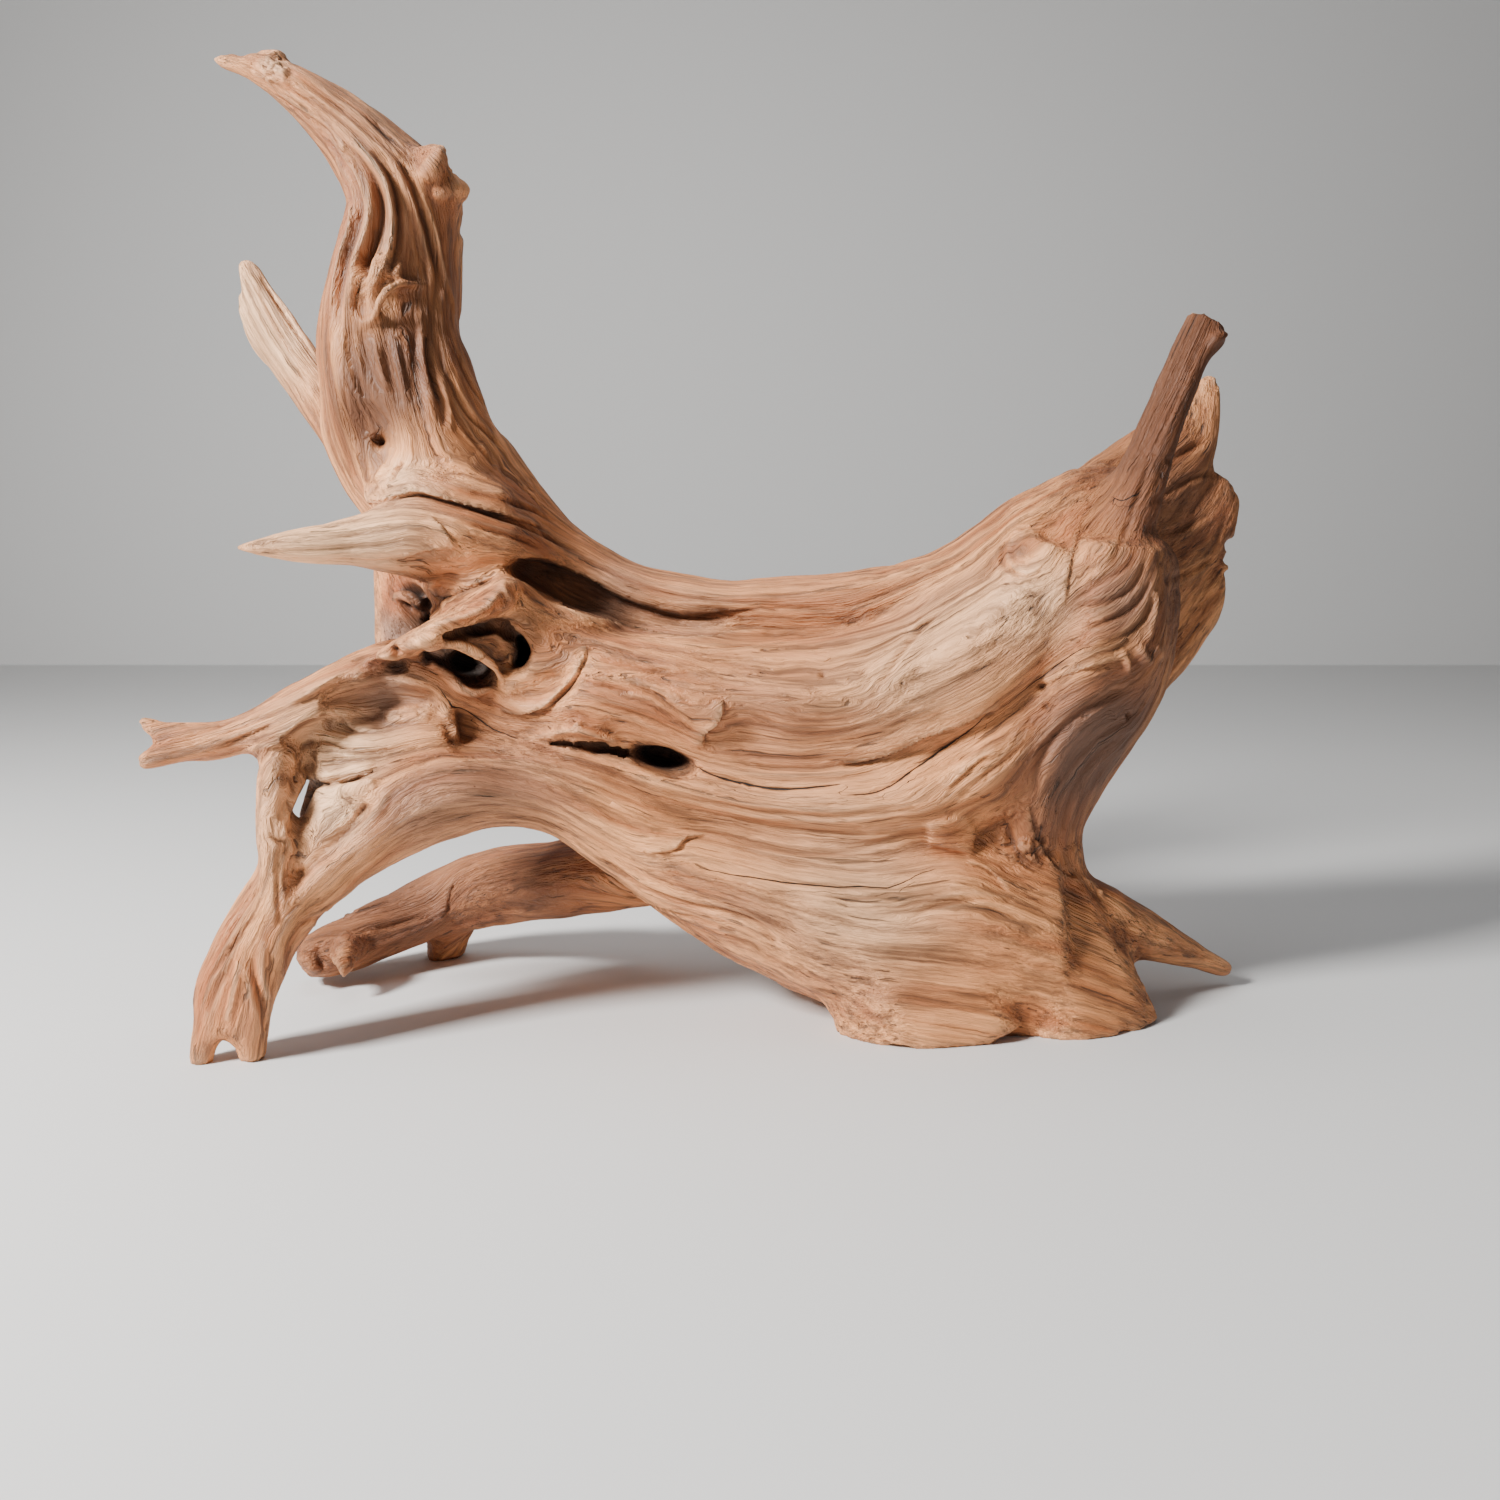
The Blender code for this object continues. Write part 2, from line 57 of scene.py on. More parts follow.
# Camera, worked out from the picture's perspective. Pixels are those of a 1500 x 1500 picture.
photoCamera = {
    "place": (0.0096, -1.1224, 0.39),
    "tilt": math.radians(81),
    "lens": 32.4,
    "sensor": 36.0,
    "pixels": 1500,
}


def addCamera(settings):
    data = bpy.data.cameras.new("camera")
    data.lens = settings["lens"]
    data.sensor_width = settings["sensor"]
    obj = bpy.data.objects.new("camera", data)
    obj.location = settings["place"]
    obj.rotation_euler = (settings["tilt"], 0, 0)
    bpy.context.scene.collection.objects.link(obj)
    bpy.context.scene.camera = obj
    bpy.context.view_layer.update()
    return obj


camera = addCamera(photoCamera)


def rayThrough(u, v):
    # direction from the camera through a pixel of the picture
    pixels = photoCamera["pixels"]
    reach = photoCamera["lens"] / photoCamera["sensor"] * pixels
    local = Vector((u - pixels / 2, pixels / 2 - v, -reach))
    return (camera.matrix_world.to_3x3() @ local).normalized()


# Wood: the skin of the CAD solid, rounded, built up and cut in places, then carved.

wood = {
    "rounding": 1,          # subdivision of the CAD skin
    "cell": 0.0019,         # metres between points of the fine skin
    "smoothing": 3,
    "triangles": 196000,
    "lineStep": 1.6,        # pixels between places on a carved line
    "backLineStep": 0.0015, # the same on the back, in metres
    "softRounds": 4,        # rounds that smooth the way the surface faces before it is carved
    "grainStep": 0.014,     # metres between two points that the grain joins
    "edgeWeight": 0.25,     # pull of the skin's edges and of the joined points on the coordinates
    "joinWeight": 2.0,
    "carvedWithin": 0.0016, # metres from the rounded skin; wood built up further out isn't carved
    "flutes": (             # across the grain, along it, height, all in metres
        (0.020, 0.34, 0.0014),
        (0.008, 0.18, 0.0008),
    ),
    "ripples": (            # the same for the soft waves that cross the grain
        (0.060, 0.034, 0.0018),
        (0.026, 0.020, 0.0007),
    ),
    "builtUpFlutes": 0.35,  # share of the flutes on wood that is built up
    "folds": ((6, 260.0), (40, 90.0)),  # how hollows are found: rounds of smoothing and their weight
    "skyRays": 16,          # rays that find how much of the sky each point sees, and their reach
    "skyReach": 0.07,
    "skyStart": 0.0012,     # the rays start this far above the surface
    "skySpread": 1.05,      # a little over 1, so that no ray starts into the wood
    "floorBand": 0.0015,    # points this low are set on the floor
    "ballBatch": 60,
    "smallBall": 0.004,     # smaller balls are made with fewer faces
    "rowSpacing": 0.6,      # gap between the balls of a row, as a share of their radius
    "sheetSpacing": 0.7,    # the same between the rows of a sheet
    "searchReach": 24,      # pixels that are searched round a place that has no wood
    "searchStep": 2,
    "searchTurns": 12,
    "rimReach": 6,          # pixels round a place where the wood closest to the camera is taken
    "solverRounds": 400,
    "seed": 5,
}

# Shapes of the carved lines. Numbers after a height are shares of the line's half width.
carving = {
    "reach": 3.5,
    "leastReach": 0.008,
    "farFromCracks": 0.02,
    "alongFade": (1.5, 0.001),
    "facing": 1.5,
    "bank": (0.3, 1.8, 0.8),    # beside a groove: height, place, width
    "foot": (0.15, 1.9, 0.8),   # beside a ridge, going in
    "ledgeTop": (0.7, 0.8),     # height, and how fast it fades
    "ledgeFoot": (0.6, 1.2),
    "overhang": (0.6, 0.4),     # share of the height, and its place
    "crackDip": 0.002,
    "deepestCrack": 0.003,
}

# Bumps of the rough spots: how many there are to a metre, and how far a spot reaches past its radius.
roughness = {"coarse": 220, "fine": 430, "fineShare": 0.7, "strength": 1.4, "reach": 1.6}

# How the way of the grain is found: the carved lines' share in it, and the least pull of far lines.
grainPull = {
    "middleStep": 0.01,
    "everyPlace": 6,
    "lineReach": 0.016,
    "lineStrength": 5.0,
    "farPull": 1e-5,
    "nearest": 1e-3,
    "batch": 8000,
}

# Lines down the middle of each limb, which the grain follows from the left ends to the right
# ones. First the reach of the line, in metres.
grainLines = {
    "horn": (0.07, [(-0.4, -0.04, 0.748), (-0.34, -0.03, 0.735), (-0.3, -0.02, 0.7),
        (-0.265, -0.01, 0.64), (-0.28, 0, 0.54), (-0.24, 0, 0.43), (-0.15, 0, 0.3)]),
    "blade": (0.03, [(-0.42, 0.07, 0.62), (-0.35, 0.06, 0.5), (-0.27, 0.04, 0.4)]),
    "spike": (0.035, [(-0.36, -0.12, 0.382), (-0.27, -0.08, 0.388), (-0.17, -0.05, 0.375)]),
    "wall": (0.04, [(-0.29, 0.04, 0.42), (-0.275, 0.03, 0.33), (-0.23, 0.0, 0.24)]),
    "left root": (0.045, [(-0.44, -0.13, 0.235), (-0.35, -0.1, 0.25), (-0.27, -0.06, 0.278),
        (-0.15, -0.04, 0.265)]),
    "dangling root": (0.03, [(-0.34, -0.155, 0.1), (-0.345, -0.13, 0.19), (-0.34, -0.1, 0.24)]),
    "front leg": (0.045, [(-0.38, -0.15, 0.0), (-0.35, -0.14, 0.1), (-0.31, -0.12, 0.15),
        (-0.25, -0.1, 0.19), (-0.19, -0.07, 0.2), (-0.11, -0.05, 0.195)]),
    "rear leg": (0.05, [(-0.39, 0.0, 0.02), (-0.33, 0.045, 0.035), (-0.23, 0.085, 0.07),
        (-0.15, 0.07, 0.085), (-0.02, 0.03, 0.12)]),
    "rear foot": (0.025, [(-0.278, 0.1, 0.0), (-0.262, 0.09, 0.06)]),
    "upper trunk": (0.07, [(-0.2, -0.02, 0.27), (-0.07, -0.04, 0.263), (0.05, -0.04, 0.25),
        (0.15, -0.03, 0.27), (0.23, -0.02, 0.33), (0.29, 0.0, 0.4)]),
    "saddle": (0.06, [(-0.2, 0.01, 0.43), (-0.12, 0.01, 0.36), (0.0, 0.01, 0.33), (0.14, 0.01, 0.335),
        (0.24, 0.01, 0.38), (0.33, 0.04, 0.42)]),
    "lower trunk": (0.07, [(-0.14, -0.06, 0.2), (-0.04, -0.05, 0.14), (0.07, -0.05, 0.1),
        (0.18, -0.04, 0.08), (0.27, -0.03, 0.05), (0.36, 0.0, 0.02)]),
    "belly": (0.05, [(-0.1, -0.04, 0.21), (0.03, -0.035, 0.185), (0.14, -0.03, 0.19), (0.22, -0.02, 0.24),
        (0.27, -0.01, 0.31)]),
    "column": (0.06, [(0.24, -0.02, 0.11), (0.235, -0.01, 0.16), (0.27, -0.01, 0.27), (0.32, 0.0, 0.38)]),
    "right root": (0.035, [(0.24, -0.03, 0.11), (0.32, -0.02, 0.06), (0.44, 0.02, 0.01)]),
    "stub": (0.03, [(0.305, -0.02, 0.36), (0.335, -0.01, 0.45), (0.38, 0.01, 0.57)]),
    "shell": (0.05, [(0.27, 0.03, 0.27), (0.36, 0.07, 0.36), (0.42, 0.09, 0.46), (0.425, 0.1, 0.54)]),
    "low shell": (0.05, [(0.26, 0.02, 0.2), (0.36, 0.06, 0.3), (0.43, 0.08, 0.37)]),
    "back of the trunk": (0.07, [(-0.2, 0.04, 0.33), (-0.05, 0.05, 0.26), (0.08, 0.06, 0.25),
        (0.2, 0.055, 0.29), (0.3, 0.05, 0.37)]),
    "back of the belly": (0.06, [(-0.09, 0.03, 0.18), (0.05, 0.04, 0.16), (0.2, 0.03, 0.12),
        (0.28, 0.02, 0.04)]),
    "back root": (0.04, [(0.11, 0.06, 0.17), (0.15, 0.1, 0.09), (0.19, 0.145, 0.0)]),
}

# Lines carved into the front: kind, half width and height in millimetres, then the line in pixels.
# A ledge stands out on the left of its line's way.
frontLines = {
    "horn hollow": ("groove", 4.5, 7, [(345, 148), (360, 164), (372, 182), (379, 202), (379, 222),
        (374, 242), (366, 260), (361, 277), (358, 292), (358, 305), (363, 314)]),
    "horn ridge 1": ("ridge", 2.6, 4, [(352, 141), (367, 156), (380, 172), (387, 187), (391, 205),
        (393, 222), (392, 240), (387, 258), (380, 273), (376, 286)]),
    "horn groove 2": ("groove", 3, 4, [(372, 150), (386, 168), (394, 186), (398, 205), (399, 225),
        (398, 245), (394, 262), (390, 275)]),
    "horn ridge 2": ("ridge", 2.4, 3.2, [(332, 134), (348, 150), (361, 167), (369, 182), (372, 200),
        (371, 217), (366, 237), (359, 255), (354, 272), (350, 290), (347, 308)]),
    "horn groove 3": ("groove", 3, 4, [(326, 141), (341, 158), (353, 175), (360, 192), (361, 210),
        (356, 232), (350, 250), (345, 268), (341, 288), (339, 308), (340, 325)]),
    "horn ridge 3": ("ridge", 2.2, 2.5, [(339, 172), (348, 188), (352, 207), (350, 228), (344, 248),
        (338, 268), (334, 290), (332, 312)]),
    "horn ridge 4": ("ridge", 2.6, 3, [(375, 143), (392, 160), (404, 180), (411, 200), (418, 222),
        (424, 244), (429, 264), (433, 284)]),
    "horn groove 4": ("groove", 3, 3.5, [(400, 165), (412, 185), (420, 205), (427, 228), (433, 250),
        (438, 270), (437, 290), (434, 310), (438, 328)]),
    "horn ridge 5": ("ridge", 2.4, 2.5, [(420, 195), (429, 215), (437, 240), (442, 262), (448, 285),
        (453, 305), (455, 325)]),
    "horn line 1": ("groove", 2, 1.8, [(285, 86), (312, 101), (337, 118), (358, 136), (372, 150)]),
    "horn line 2": ("groove", 2, 1.8, [(275, 95), (300, 112), (322, 128), (340, 144)]),
    "horn line 3": ("groove", 2, 1.8, [(298, 78), (325, 97), (352, 117), (377, 140), (396, 160)]),
    "horn line 4": ("groove", 2.2, 2, [(330, 90), (355, 106), (380, 128), (400, 150), (415, 168)]),
    "below hook 1": ("groove", 3.6, 3.4, [(381, 328), (384, 345), (387, 362), (391, 378), (395, 390),
        (399, 405)]),
    "below hook ridge 1": ("ridge", 1.8, 2, [(377, 346), (381, 362), (385, 380), (388, 392)]),
    "below hook 2": ("groove", 3, 2.4, [(414, 332), (415, 358), (418, 380), (421, 398), (423, 412)]),
    "below hook ridge 2": ("ridge", 2.4, 2.5, [(396, 330), (398, 352), (402, 375), (405, 395),
        (409, 418)]),
    "below hook ridge 3": ("ridge", 2.4, 3, [(420, 310), (421, 335), (424, 360), (428, 382), (434, 402)]),
    "below hook 3": ("groove", 3.2, 3, [(428, 335), (427, 355), (431, 376), (437, 394), (442, 410),
        (445, 427)]),
    "below hook ridge 4": ("ridge", 2, 1.4, [(441, 372), (444, 388), (449, 404), (451, 420), (449, 432)]),
    "below hook 4": ("groove", 2.6, 3, [(447, 372), (456, 392), (468, 412), (484, 430), (500, 447)]),
    "below hook 5": ("groove", 2.4, 2.4, [(456, 352), (468, 378), (488, 408), (512, 438), (540, 470),
        (572, 500)]),
    "below hook 6": ("groove", 2.2, 2, [(449, 400), (462, 424), (478, 446), (498, 470)]),
    "horn side 1": ("groove", 2.6, 2.4, [(347, 330), (350, 355), (356, 378), (366, 396)]),
    "horn side 2": ("groove", 2.4, 2, [(331, 330), (328, 355), (332, 380), (340, 405), (350, 432),
        (358, 455)]),
    "horn side 3": ("groove", 2.4, 2, [(362, 330), (365, 352), (370, 372), (380, 392)]),
    "short groove": ("groove", 2.4, 3, [(405, 464), (399, 473), (393, 484)]),
    "fold under the horn": ("ledge", 4, 8, [(366, 502), (378, 501), (392, 498), (405, 494), (418, 491),
        (432, 493), (447, 497), (462, 501), (480, 506), (500, 511), (522, 519), (545, 528)]),
    "fold 2": ("groove", 2.4, 2.5, [(470, 493), (492, 497), (515, 503), (536, 511), (556, 522)]),
    "fold 3": ("groove", 2.4, 2.5, [(468, 508), (490, 514), (515, 522), (540, 533), (565, 545),
        (590, 556)]),
    "fold 4": ("groove", 2, 2, [(455, 520), (480, 527), (510, 536), (540, 548)]),
    "spike crease": ("ledge", 3, 4, [(456, 547), (449, 539), (443, 530), (436, 521), (431, 514)]),
    "spike low crease": ("ledge", 3, 3, [(403, 558), (415, 554), (428, 550), (445, 549), (456, 548)]),
    "spike line 1": ("groove", 1.8, 1.4, [(278, 551), (305, 551), (340, 549), (375, 546), (405, 541)]),
    "spike line 2": ("groove", 1.8, 1.2, [(290, 558), (330, 560), (370, 561), (400, 558)]),
    "spike line 3": ("groove", 1.8, 1.4, [(300, 541), (335, 537), (370, 532), (405, 524), (425, 519)]),
    "spike plate edge": ("ledge", 3.5, 5, [(380, 569), (400, 571), (418, 574), (430, 581), (433, 592),
        (452, 594), (462, 590), (475, 584), (490, 577), (500, 570)]),
    "blade groove 1": ("groove", 2.2, 2.4, [(261, 277), (283, 310), (299, 334), (313, 353)]),
    "blade groove 2": ("groove", 2.2, 2.0, [(257, 287), (275, 324), (294, 353), (311, 369)]),
    "root gouge edge": ("ledge", 3, 3.5, [(287, 705), (297, 700), (312, 692), (326, 683), (340, 675),
        (352, 667)]),
    "root line 1": ("groove", 1.8, 1.5, [(215, 737), (240, 727), (265, 716), (290, 706)]),
    "root line 2": ("groove", 1.8, 1.5, [(225, 745), (250, 735), (275, 724)]),
    "root line 3": ("groove", 1.8, 1.5, [(235, 715), (262, 705), (290, 694), (318, 680)]),
    "root line 4": ("groove", 1.8, 1.5, [(190, 735), (215, 728), (240, 716)]),
    "root step": ("ledge", 3, 4, [(285, 751), (280, 742), (280, 736), (289, 729), (302, 720), (318, 715),
        (334, 714)]),
    "grey step": ("ledge", 3, 3.5, [(334, 712), (345, 718), (352, 727), (362, 731), (378, 731),
        (394, 728)]),
    "root low line": ("groove", 2.2, 2, [(300, 750), (325, 741), (345, 748), (370, 754), (400, 748)]),
    "scoop rim": ("ledge", 3.5, 4, [(308, 783), (322, 781), (340, 782), (358, 776), (376, 770)]),
    "scoop ridge": ("ridge", 3, 3, [(388, 788), (383, 802), (368, 822), (348, 840), (324, 858),
        (304, 874)]),
    "scoop line 1": ("groove", 2, 1.6, [(352, 790), (334, 812), (316, 838)]),
    "scoop line 2": ("groove", 2, 1.6, [(372, 800), (352, 824), (330, 846)]),
    "plate edge": ("crack", 0.9, 1.5, [(437, 686), (443, 694), (452, 705), (465, 710), (478, 718),
        (492, 728), (506, 734), (520, 740)]),
    "foot ridge 1": ("ridge", 2.4, 3, [(239, 962), (235, 985), (230, 1005), (226, 1022)]),
    "foot groove 1": ("groove", 3, 3.5, [(250, 958), (253, 975), (258, 992), (264, 1012), (266, 1032)]),
    "foot ridge 2": ("ridge", 3, 2.5, [(263, 940), (262, 960), (263, 980), (268, 1000)]),
    "foot groove 2": ("groove", 2.6, 2.6, [(224, 972), (214, 992), (207, 1012)]),
    "leg line 1": ("groove", 2, 2, [(262, 885), (245, 905), (232, 925), (220, 945), (210, 965)]),
    "leg line 2": ("groove", 2, 2, [(255, 915), (240, 935), (225, 955), (212, 975)]),
    "leg line 3": ("groove", 2, 1.6, [(243, 900), (228, 922), (215, 948)]),
    "dangling crease": ("groove", 1.8, 2, [(268, 835), (276, 840), (286, 842)]),
    "dangling line": ("groove", 1.8, 1.5, [(277, 850), (277, 880), (278, 905), (280, 925)]),
    "rear line 1": ("groove", 2.4, 2.5, [(300, 925), (325, 918), (350, 916), (380, 912), (410, 905)]),
    "rear line 2": ("groove", 2, 2, [(310, 919), (335, 912), (360, 911), (395, 903)]),
    "rear line 3": ("groove", 2.4, 2, [(330, 935), (370, 930), (410, 920), (436, 912)]),
    "rear fold": ("ledge", 3.5, 3.5, [(442, 922), (446, 906), (448, 892), (456, 880)]),
    "trunk line 1": ("groove", 3, 1.6, [(600, 660), (640, 668), (680, 676), (700, 682)]),
    "trunk line 2": ("groove", 3, 1.8, [(600, 683), (640, 690), (665, 702), (682, 720)]),
    "trunk line 3": ("groove", 3, 1.8, [(600, 705), (640, 716), (670, 730), (690, 742)]),
    "trunk line 4": ("groove", 2.6, 1.6, [(640, 640), (690, 647), (740, 645), (790, 641), (840, 636),
        (870, 622), (900, 598), (940, 575)]),
    "trunk line 5": ("groove", 3, 2, [(730, 760), (770, 768), (810, 770), (850, 765), (890, 754)]),
    "trunk line 6": ("groove", 2.6, 1.6, [(720, 777), (760, 780), (800, 780), (850, 777), (880, 769)]),
    "trunk line 7": ("groove", 3, 1.8, [(700, 800), (750, 811), (800, 815), (850, 815), (900, 808)]),
    "trunk line 8": ("groove", 3, 1.8, [(700, 838), (750, 845), (800, 852), (850, 850), (900, 838),
        (925, 832)]),
    "trunk line 9": ("groove", 3, 2, [(870, 700), (885, 680), (905, 650), (930, 620), (965, 590)]),
    "swirl edge": ("ledge", 4, 7, [(500, 710), (520, 713), (537, 708), (550, 701), (562, 690), (571, 679),
        (578, 668), (584, 656), (586, 646)]),
    "burl edge": ("ledge", 4.5, 7, [(703, 748), (702, 735), (708, 727), (716, 722), (721, 712),
        (722, 700)]),
    "hollow low rim": ("ledge", 3.5, 5, [(766, 629), (735, 631), (715, 637), (690, 640), (665, 636),
        (640, 629), (615, 624), (585, 617), (563, 608), (560, 600), (540, 591), (520, 581), (504, 577)]),
    "hollow top rim": ("ledge", 3.5, 5, [(503, 566), (515, 558), (530, 560), (560, 567), (590, 577),
        (610, 590), (625, 598), (650, 606), (680, 613), (720, 611), (760, 607)]),
    "upper plate": ("ledge", 4, 7, [(842, 763), (862, 760), (882, 753), (902, 745), (922, 736),
        (940, 730), (955, 726), (970, 719), (985, 712), (1000, 709)]),
    "torn groove": ("ledge", 3.5, 4, [(945, 790), (958, 777), (972, 764), (984, 756), (997, 754)]),
    "side groove 1": ("groove", 2.5, 2, [(960, 800), (975, 785), (990, 772), (1010, 757), (1035, 735)]),
    "crack of the hole": ("crack", 1.3, 5, [(694, 766), (721, 777), (747, 784), (770, 788), (790, 789),
        (814, 787), (841, 784)]),
    "second crack": ("crack", 1.0, 4, [(846, 795), (870, 793), (886, 787), (900, 778), (920, 764),
        (940, 750), (960, 738), (975, 727), (985, 718), (994, 712)]),
    "crack up the side": ("crack", 0.6, 2, [(1003, 709), (1018, 696), (1036, 682), (1056, 666),
        (1076, 652), (1095, 645)]),
    "low crack": ("crack", 0.7, 2, [(700, 868), (720, 872), (750, 877), (780, 882), (810, 885),
        (835, 887), (860, 886), (885, 888), (900, 884), (920, 874), (935, 870)]),
    "side groove 2": ("groove", 4, 3, [(1125, 688), (1092, 705), (1062, 730), (1042, 760), (1034, 792)]),
    "side groove 3": ("groove", 3.5, 2.5, [(1133, 732), (1108, 747), (1086, 772), (1071, 802),
        (1062, 832)]),
    "side ledge": ("ledge", 4, 4, [(1040, 686), (1060, 676), (1082, 668), (1105, 662), (1128, 657)]),
    "bark ledge": ("ledge", 4, 5, [(1078, 880), (1062, 874), (1048, 862), (1038, 846), (1032, 828),
        (1029, 806)]),
    "bark groove": ("groove", 3, 3, [(1035, 868), (1022, 858), (1012, 842), (1010, 825)]),
    "leg plate edge": ("ledge", 3.5, 4, [(645, 853), (660, 851), (674, 848), (682, 840), (690, 836),
        (706, 834)]),
    "under line 1": ("groove", 3, 3, [(600, 858), (640, 885), (690, 905), (725, 913), (758, 925),
        (778, 945)]),
    "under line 2": ("groove", 2.4, 2, [(592, 862), (620, 890), (660, 909), (700, 920), (735, 930)]),
    "base ledge": ("ledge", 3, 3, [(965, 864), (985, 868), (998, 879), (1008, 892)]),
    "base line": ("groove", 2.4, 2, [(912, 916), (940, 905), (980, 900), (1012, 903)]),
    "stub rib 1": ("groove", 1.8, 1.6, [(1196, 322), (1180, 360), (1160, 405), (1140, 450), (1122, 492)]),
    "stub rib 2": ("groove", 1.8, 1.8, [(1208, 330), (1192, 365), (1172, 410), (1152, 455), (1135, 500)]),
    "stub rib 3": ("groove", 1.8, 1.4, [(1187, 325), (1170, 362), (1150, 405), (1130, 448)]),
    "stub rib 4": ("groove", 2.2, 2.4, [(1150, 470), (1135, 505), (1122, 540), (1112, 562)]),
    "stub ring": ("crack", 0.7, 1.5, [(1112, 497), (1122, 500), (1133, 496), (1142, 489)]),
    "swirl 1": ("groove", 2.6, 1.9, [(1137, 550), (1132, 562), (1120, 572), (1105, 580), (1090, 585)]),
    "swirl 2": ("groove", 2.6, 2.2, [(1146, 565), (1138, 582), (1122, 596), (1100, 603), (1078, 606)]),
    "swirl 3": ("groove", 2.6, 1.9, [(1150, 582), (1142, 599), (1128, 612), (1105, 622), (1080, 625)]),
    "swirl 4": ("groove", 2.4, 1.7, [(1153, 602), (1146, 618), (1130, 632), (1105, 643), (1085, 650)]),
    "swirl ridge": ("ridge", 2.6, 3, [(1157, 590), (1156, 608), (1151, 625), (1146, 640)]),
    "burl ring 1": ("groove", 2, 1.6, [(1020, 576), (1006, 568), (1002, 554), (1008, 540), (1022, 530),
        (1040, 526)]),
    "burl ring 2": ("groove", 1.8, 1.2, [(1030, 566), (1017, 562), (1013, 552), (1020, 542)]),
    "burl foot": ("ledge", 2.6, 3, [(1010, 566), (1018, 572), (1030, 574), (1043, 567)]),
    "column crease": ("ledge", 3, 3, [(1064, 606), (1066, 585), (1069, 565), (1074, 545), (1082, 520)]),
    "shell line 1": ("groove", 3, 2, [(1150, 505), (1172, 490), (1192, 478), (1216, 472)]),
    "shell line 2": ("groove", 3, 2, [(1168, 462), (1188, 450), (1208, 440)]),
    "shell line 3": ("groove", 3, 2, [(1160, 535), (1185, 528), (1212, 512)]),
    "shell line 4": ("groove", 3, 2, [(1165, 580), (1190, 572), (1215, 558)]),
}

# Lines carved into the back, as x and z in metres.
backLines = {
    "back crack 1": ("crack", 1.2, 4, [(0.2, 0.275), (0.11, 0.245), (0.02, 0.238), (-0.06, 0.252)]),
    "back crack 2": ("crack", 0.8, 3, [(-0.2, 0.42), (-0.235, 0.48), (-0.255, 0.55), (-0.25, 0.6)]),
    "back crack 3": ("crack", 0.8, 3, [(0.25, 0.2), (0.18, 0.165), (0.09, 0.15), (0.0, 0.155)]),
    "back ledge 1": ("ledge", 5, 5, [(0.27, 0.3), (0.2, 0.225), (0.12, 0.2), (0.03, 0.195),
        (-0.04, 0.21)]),
    "back ledge 2": ("ledge", 5, 5, [(0.1, 0.345), (0.03, 0.315), (-0.05, 0.32), (-0.12, 0.35)]),
    "back groove 1": ("groove", 4, 5, [(-0.16, 0.34), (-0.2, 0.4), (-0.225, 0.47), (-0.23, 0.54),
        (-0.225, 0.61)]),
    "back groove 2": ("groove", 4, 4, [(-0.22, 0.36), (-0.26, 0.44), (-0.28, 0.52), (-0.275, 0.6)]),
    "back groove 3": ("groove", 3, 3, [(-0.25, 0.63), (-0.275, 0.68), (-0.32, 0.715), (-0.36, 0.735)]),
    "back groove 4": ("groove", 4, 4, [(0.3, 0.3), (0.35, 0.36), (0.4, 0.44), (0.41, 0.5)]),
    "back groove 5": ("groove", 4, 4, [(0.28, 0.34), (0.33, 0.4), (0.37, 0.45)]),
    "back groove 6": ("groove", 4, 4, [(0.12, 0.16), (0.15, 0.11), (0.18, 0.05)]),
    "back groove 7": ("groove", 4, 4, [(0.24, 0.16), (0.25, 0.1), (0.27, 0.05)]),
    "back groove 8": ("groove", 4, 3, [(0.05, 0.29), (-0.03, 0.275), (-0.1, 0.29), (-0.16, 0.31)]),
    "back groove 9": ("groove", 3, 3, [(0.3, 0.24), (0.36, 0.3), (0.41, 0.36)]),
    "back groove 10": ("groove", 3, 3, [(-0.05, 0.13), (-0.14, 0.1), (-0.22, 0.09), (-0.3, 0.06)]),
}

# Round dents and bumps of the front: pixel, then radius and height in millimetres. Below 0 it goes in.
frontDents = {
    "knot hole": ((376, 440), 4.5, -12),
    "dent beside the knot hole": ((362, 430), 18, -8),
    "dent under the knot hole": ((383, 456), 12, -4),
    "pale bulge": ((408, 476), 17, 4),
    "ringed hole": ((394, 651), 4, -8),
    "grey dish": ((385, 702), 24, -7),
    "root dish": ((318, 730), 18, -6),
    "root dent": ((331, 758), 14, -5),
    "burl": ((1024, 552), 16, 5),
    "trunk dent": ((742, 728), 22, -5),
    "trunk swell": ((860, 650), 40, 5),
    "leg hump": ((470, 775), 26, 3),
    "leg cheek": ((590, 775), 22, 3),
    "base hump": ((962, 885), 24, 4),
    "pin hole 1": ((1042, 686), 3.5, -4),
    "pin hole 2": ((1046, 706), 2.6, -4),
    "pin hole 3": ((1130, 716), 2.6, -5),
    "pin hole 4": ((823, 676), 2.4, -3),
}

# The same for the back, at x and z in metres.
backDents = {
    "back knot": ((0.055, 0.275), 13, 6),
    "back knot hole": ((0.055, 0.275), 5, -14),
    "back knot 2": ((-0.235, 0.5), 10, 5),
    "back dish": ((0.18, 0.32), 30, -8),
    "back dish 2": ((-0.05, 0.23), 26, -7),
    "back swell": ((0.12, 0.26), 36, 6),
    "back hole": ((0.3, 0.2), 5, -10),
}

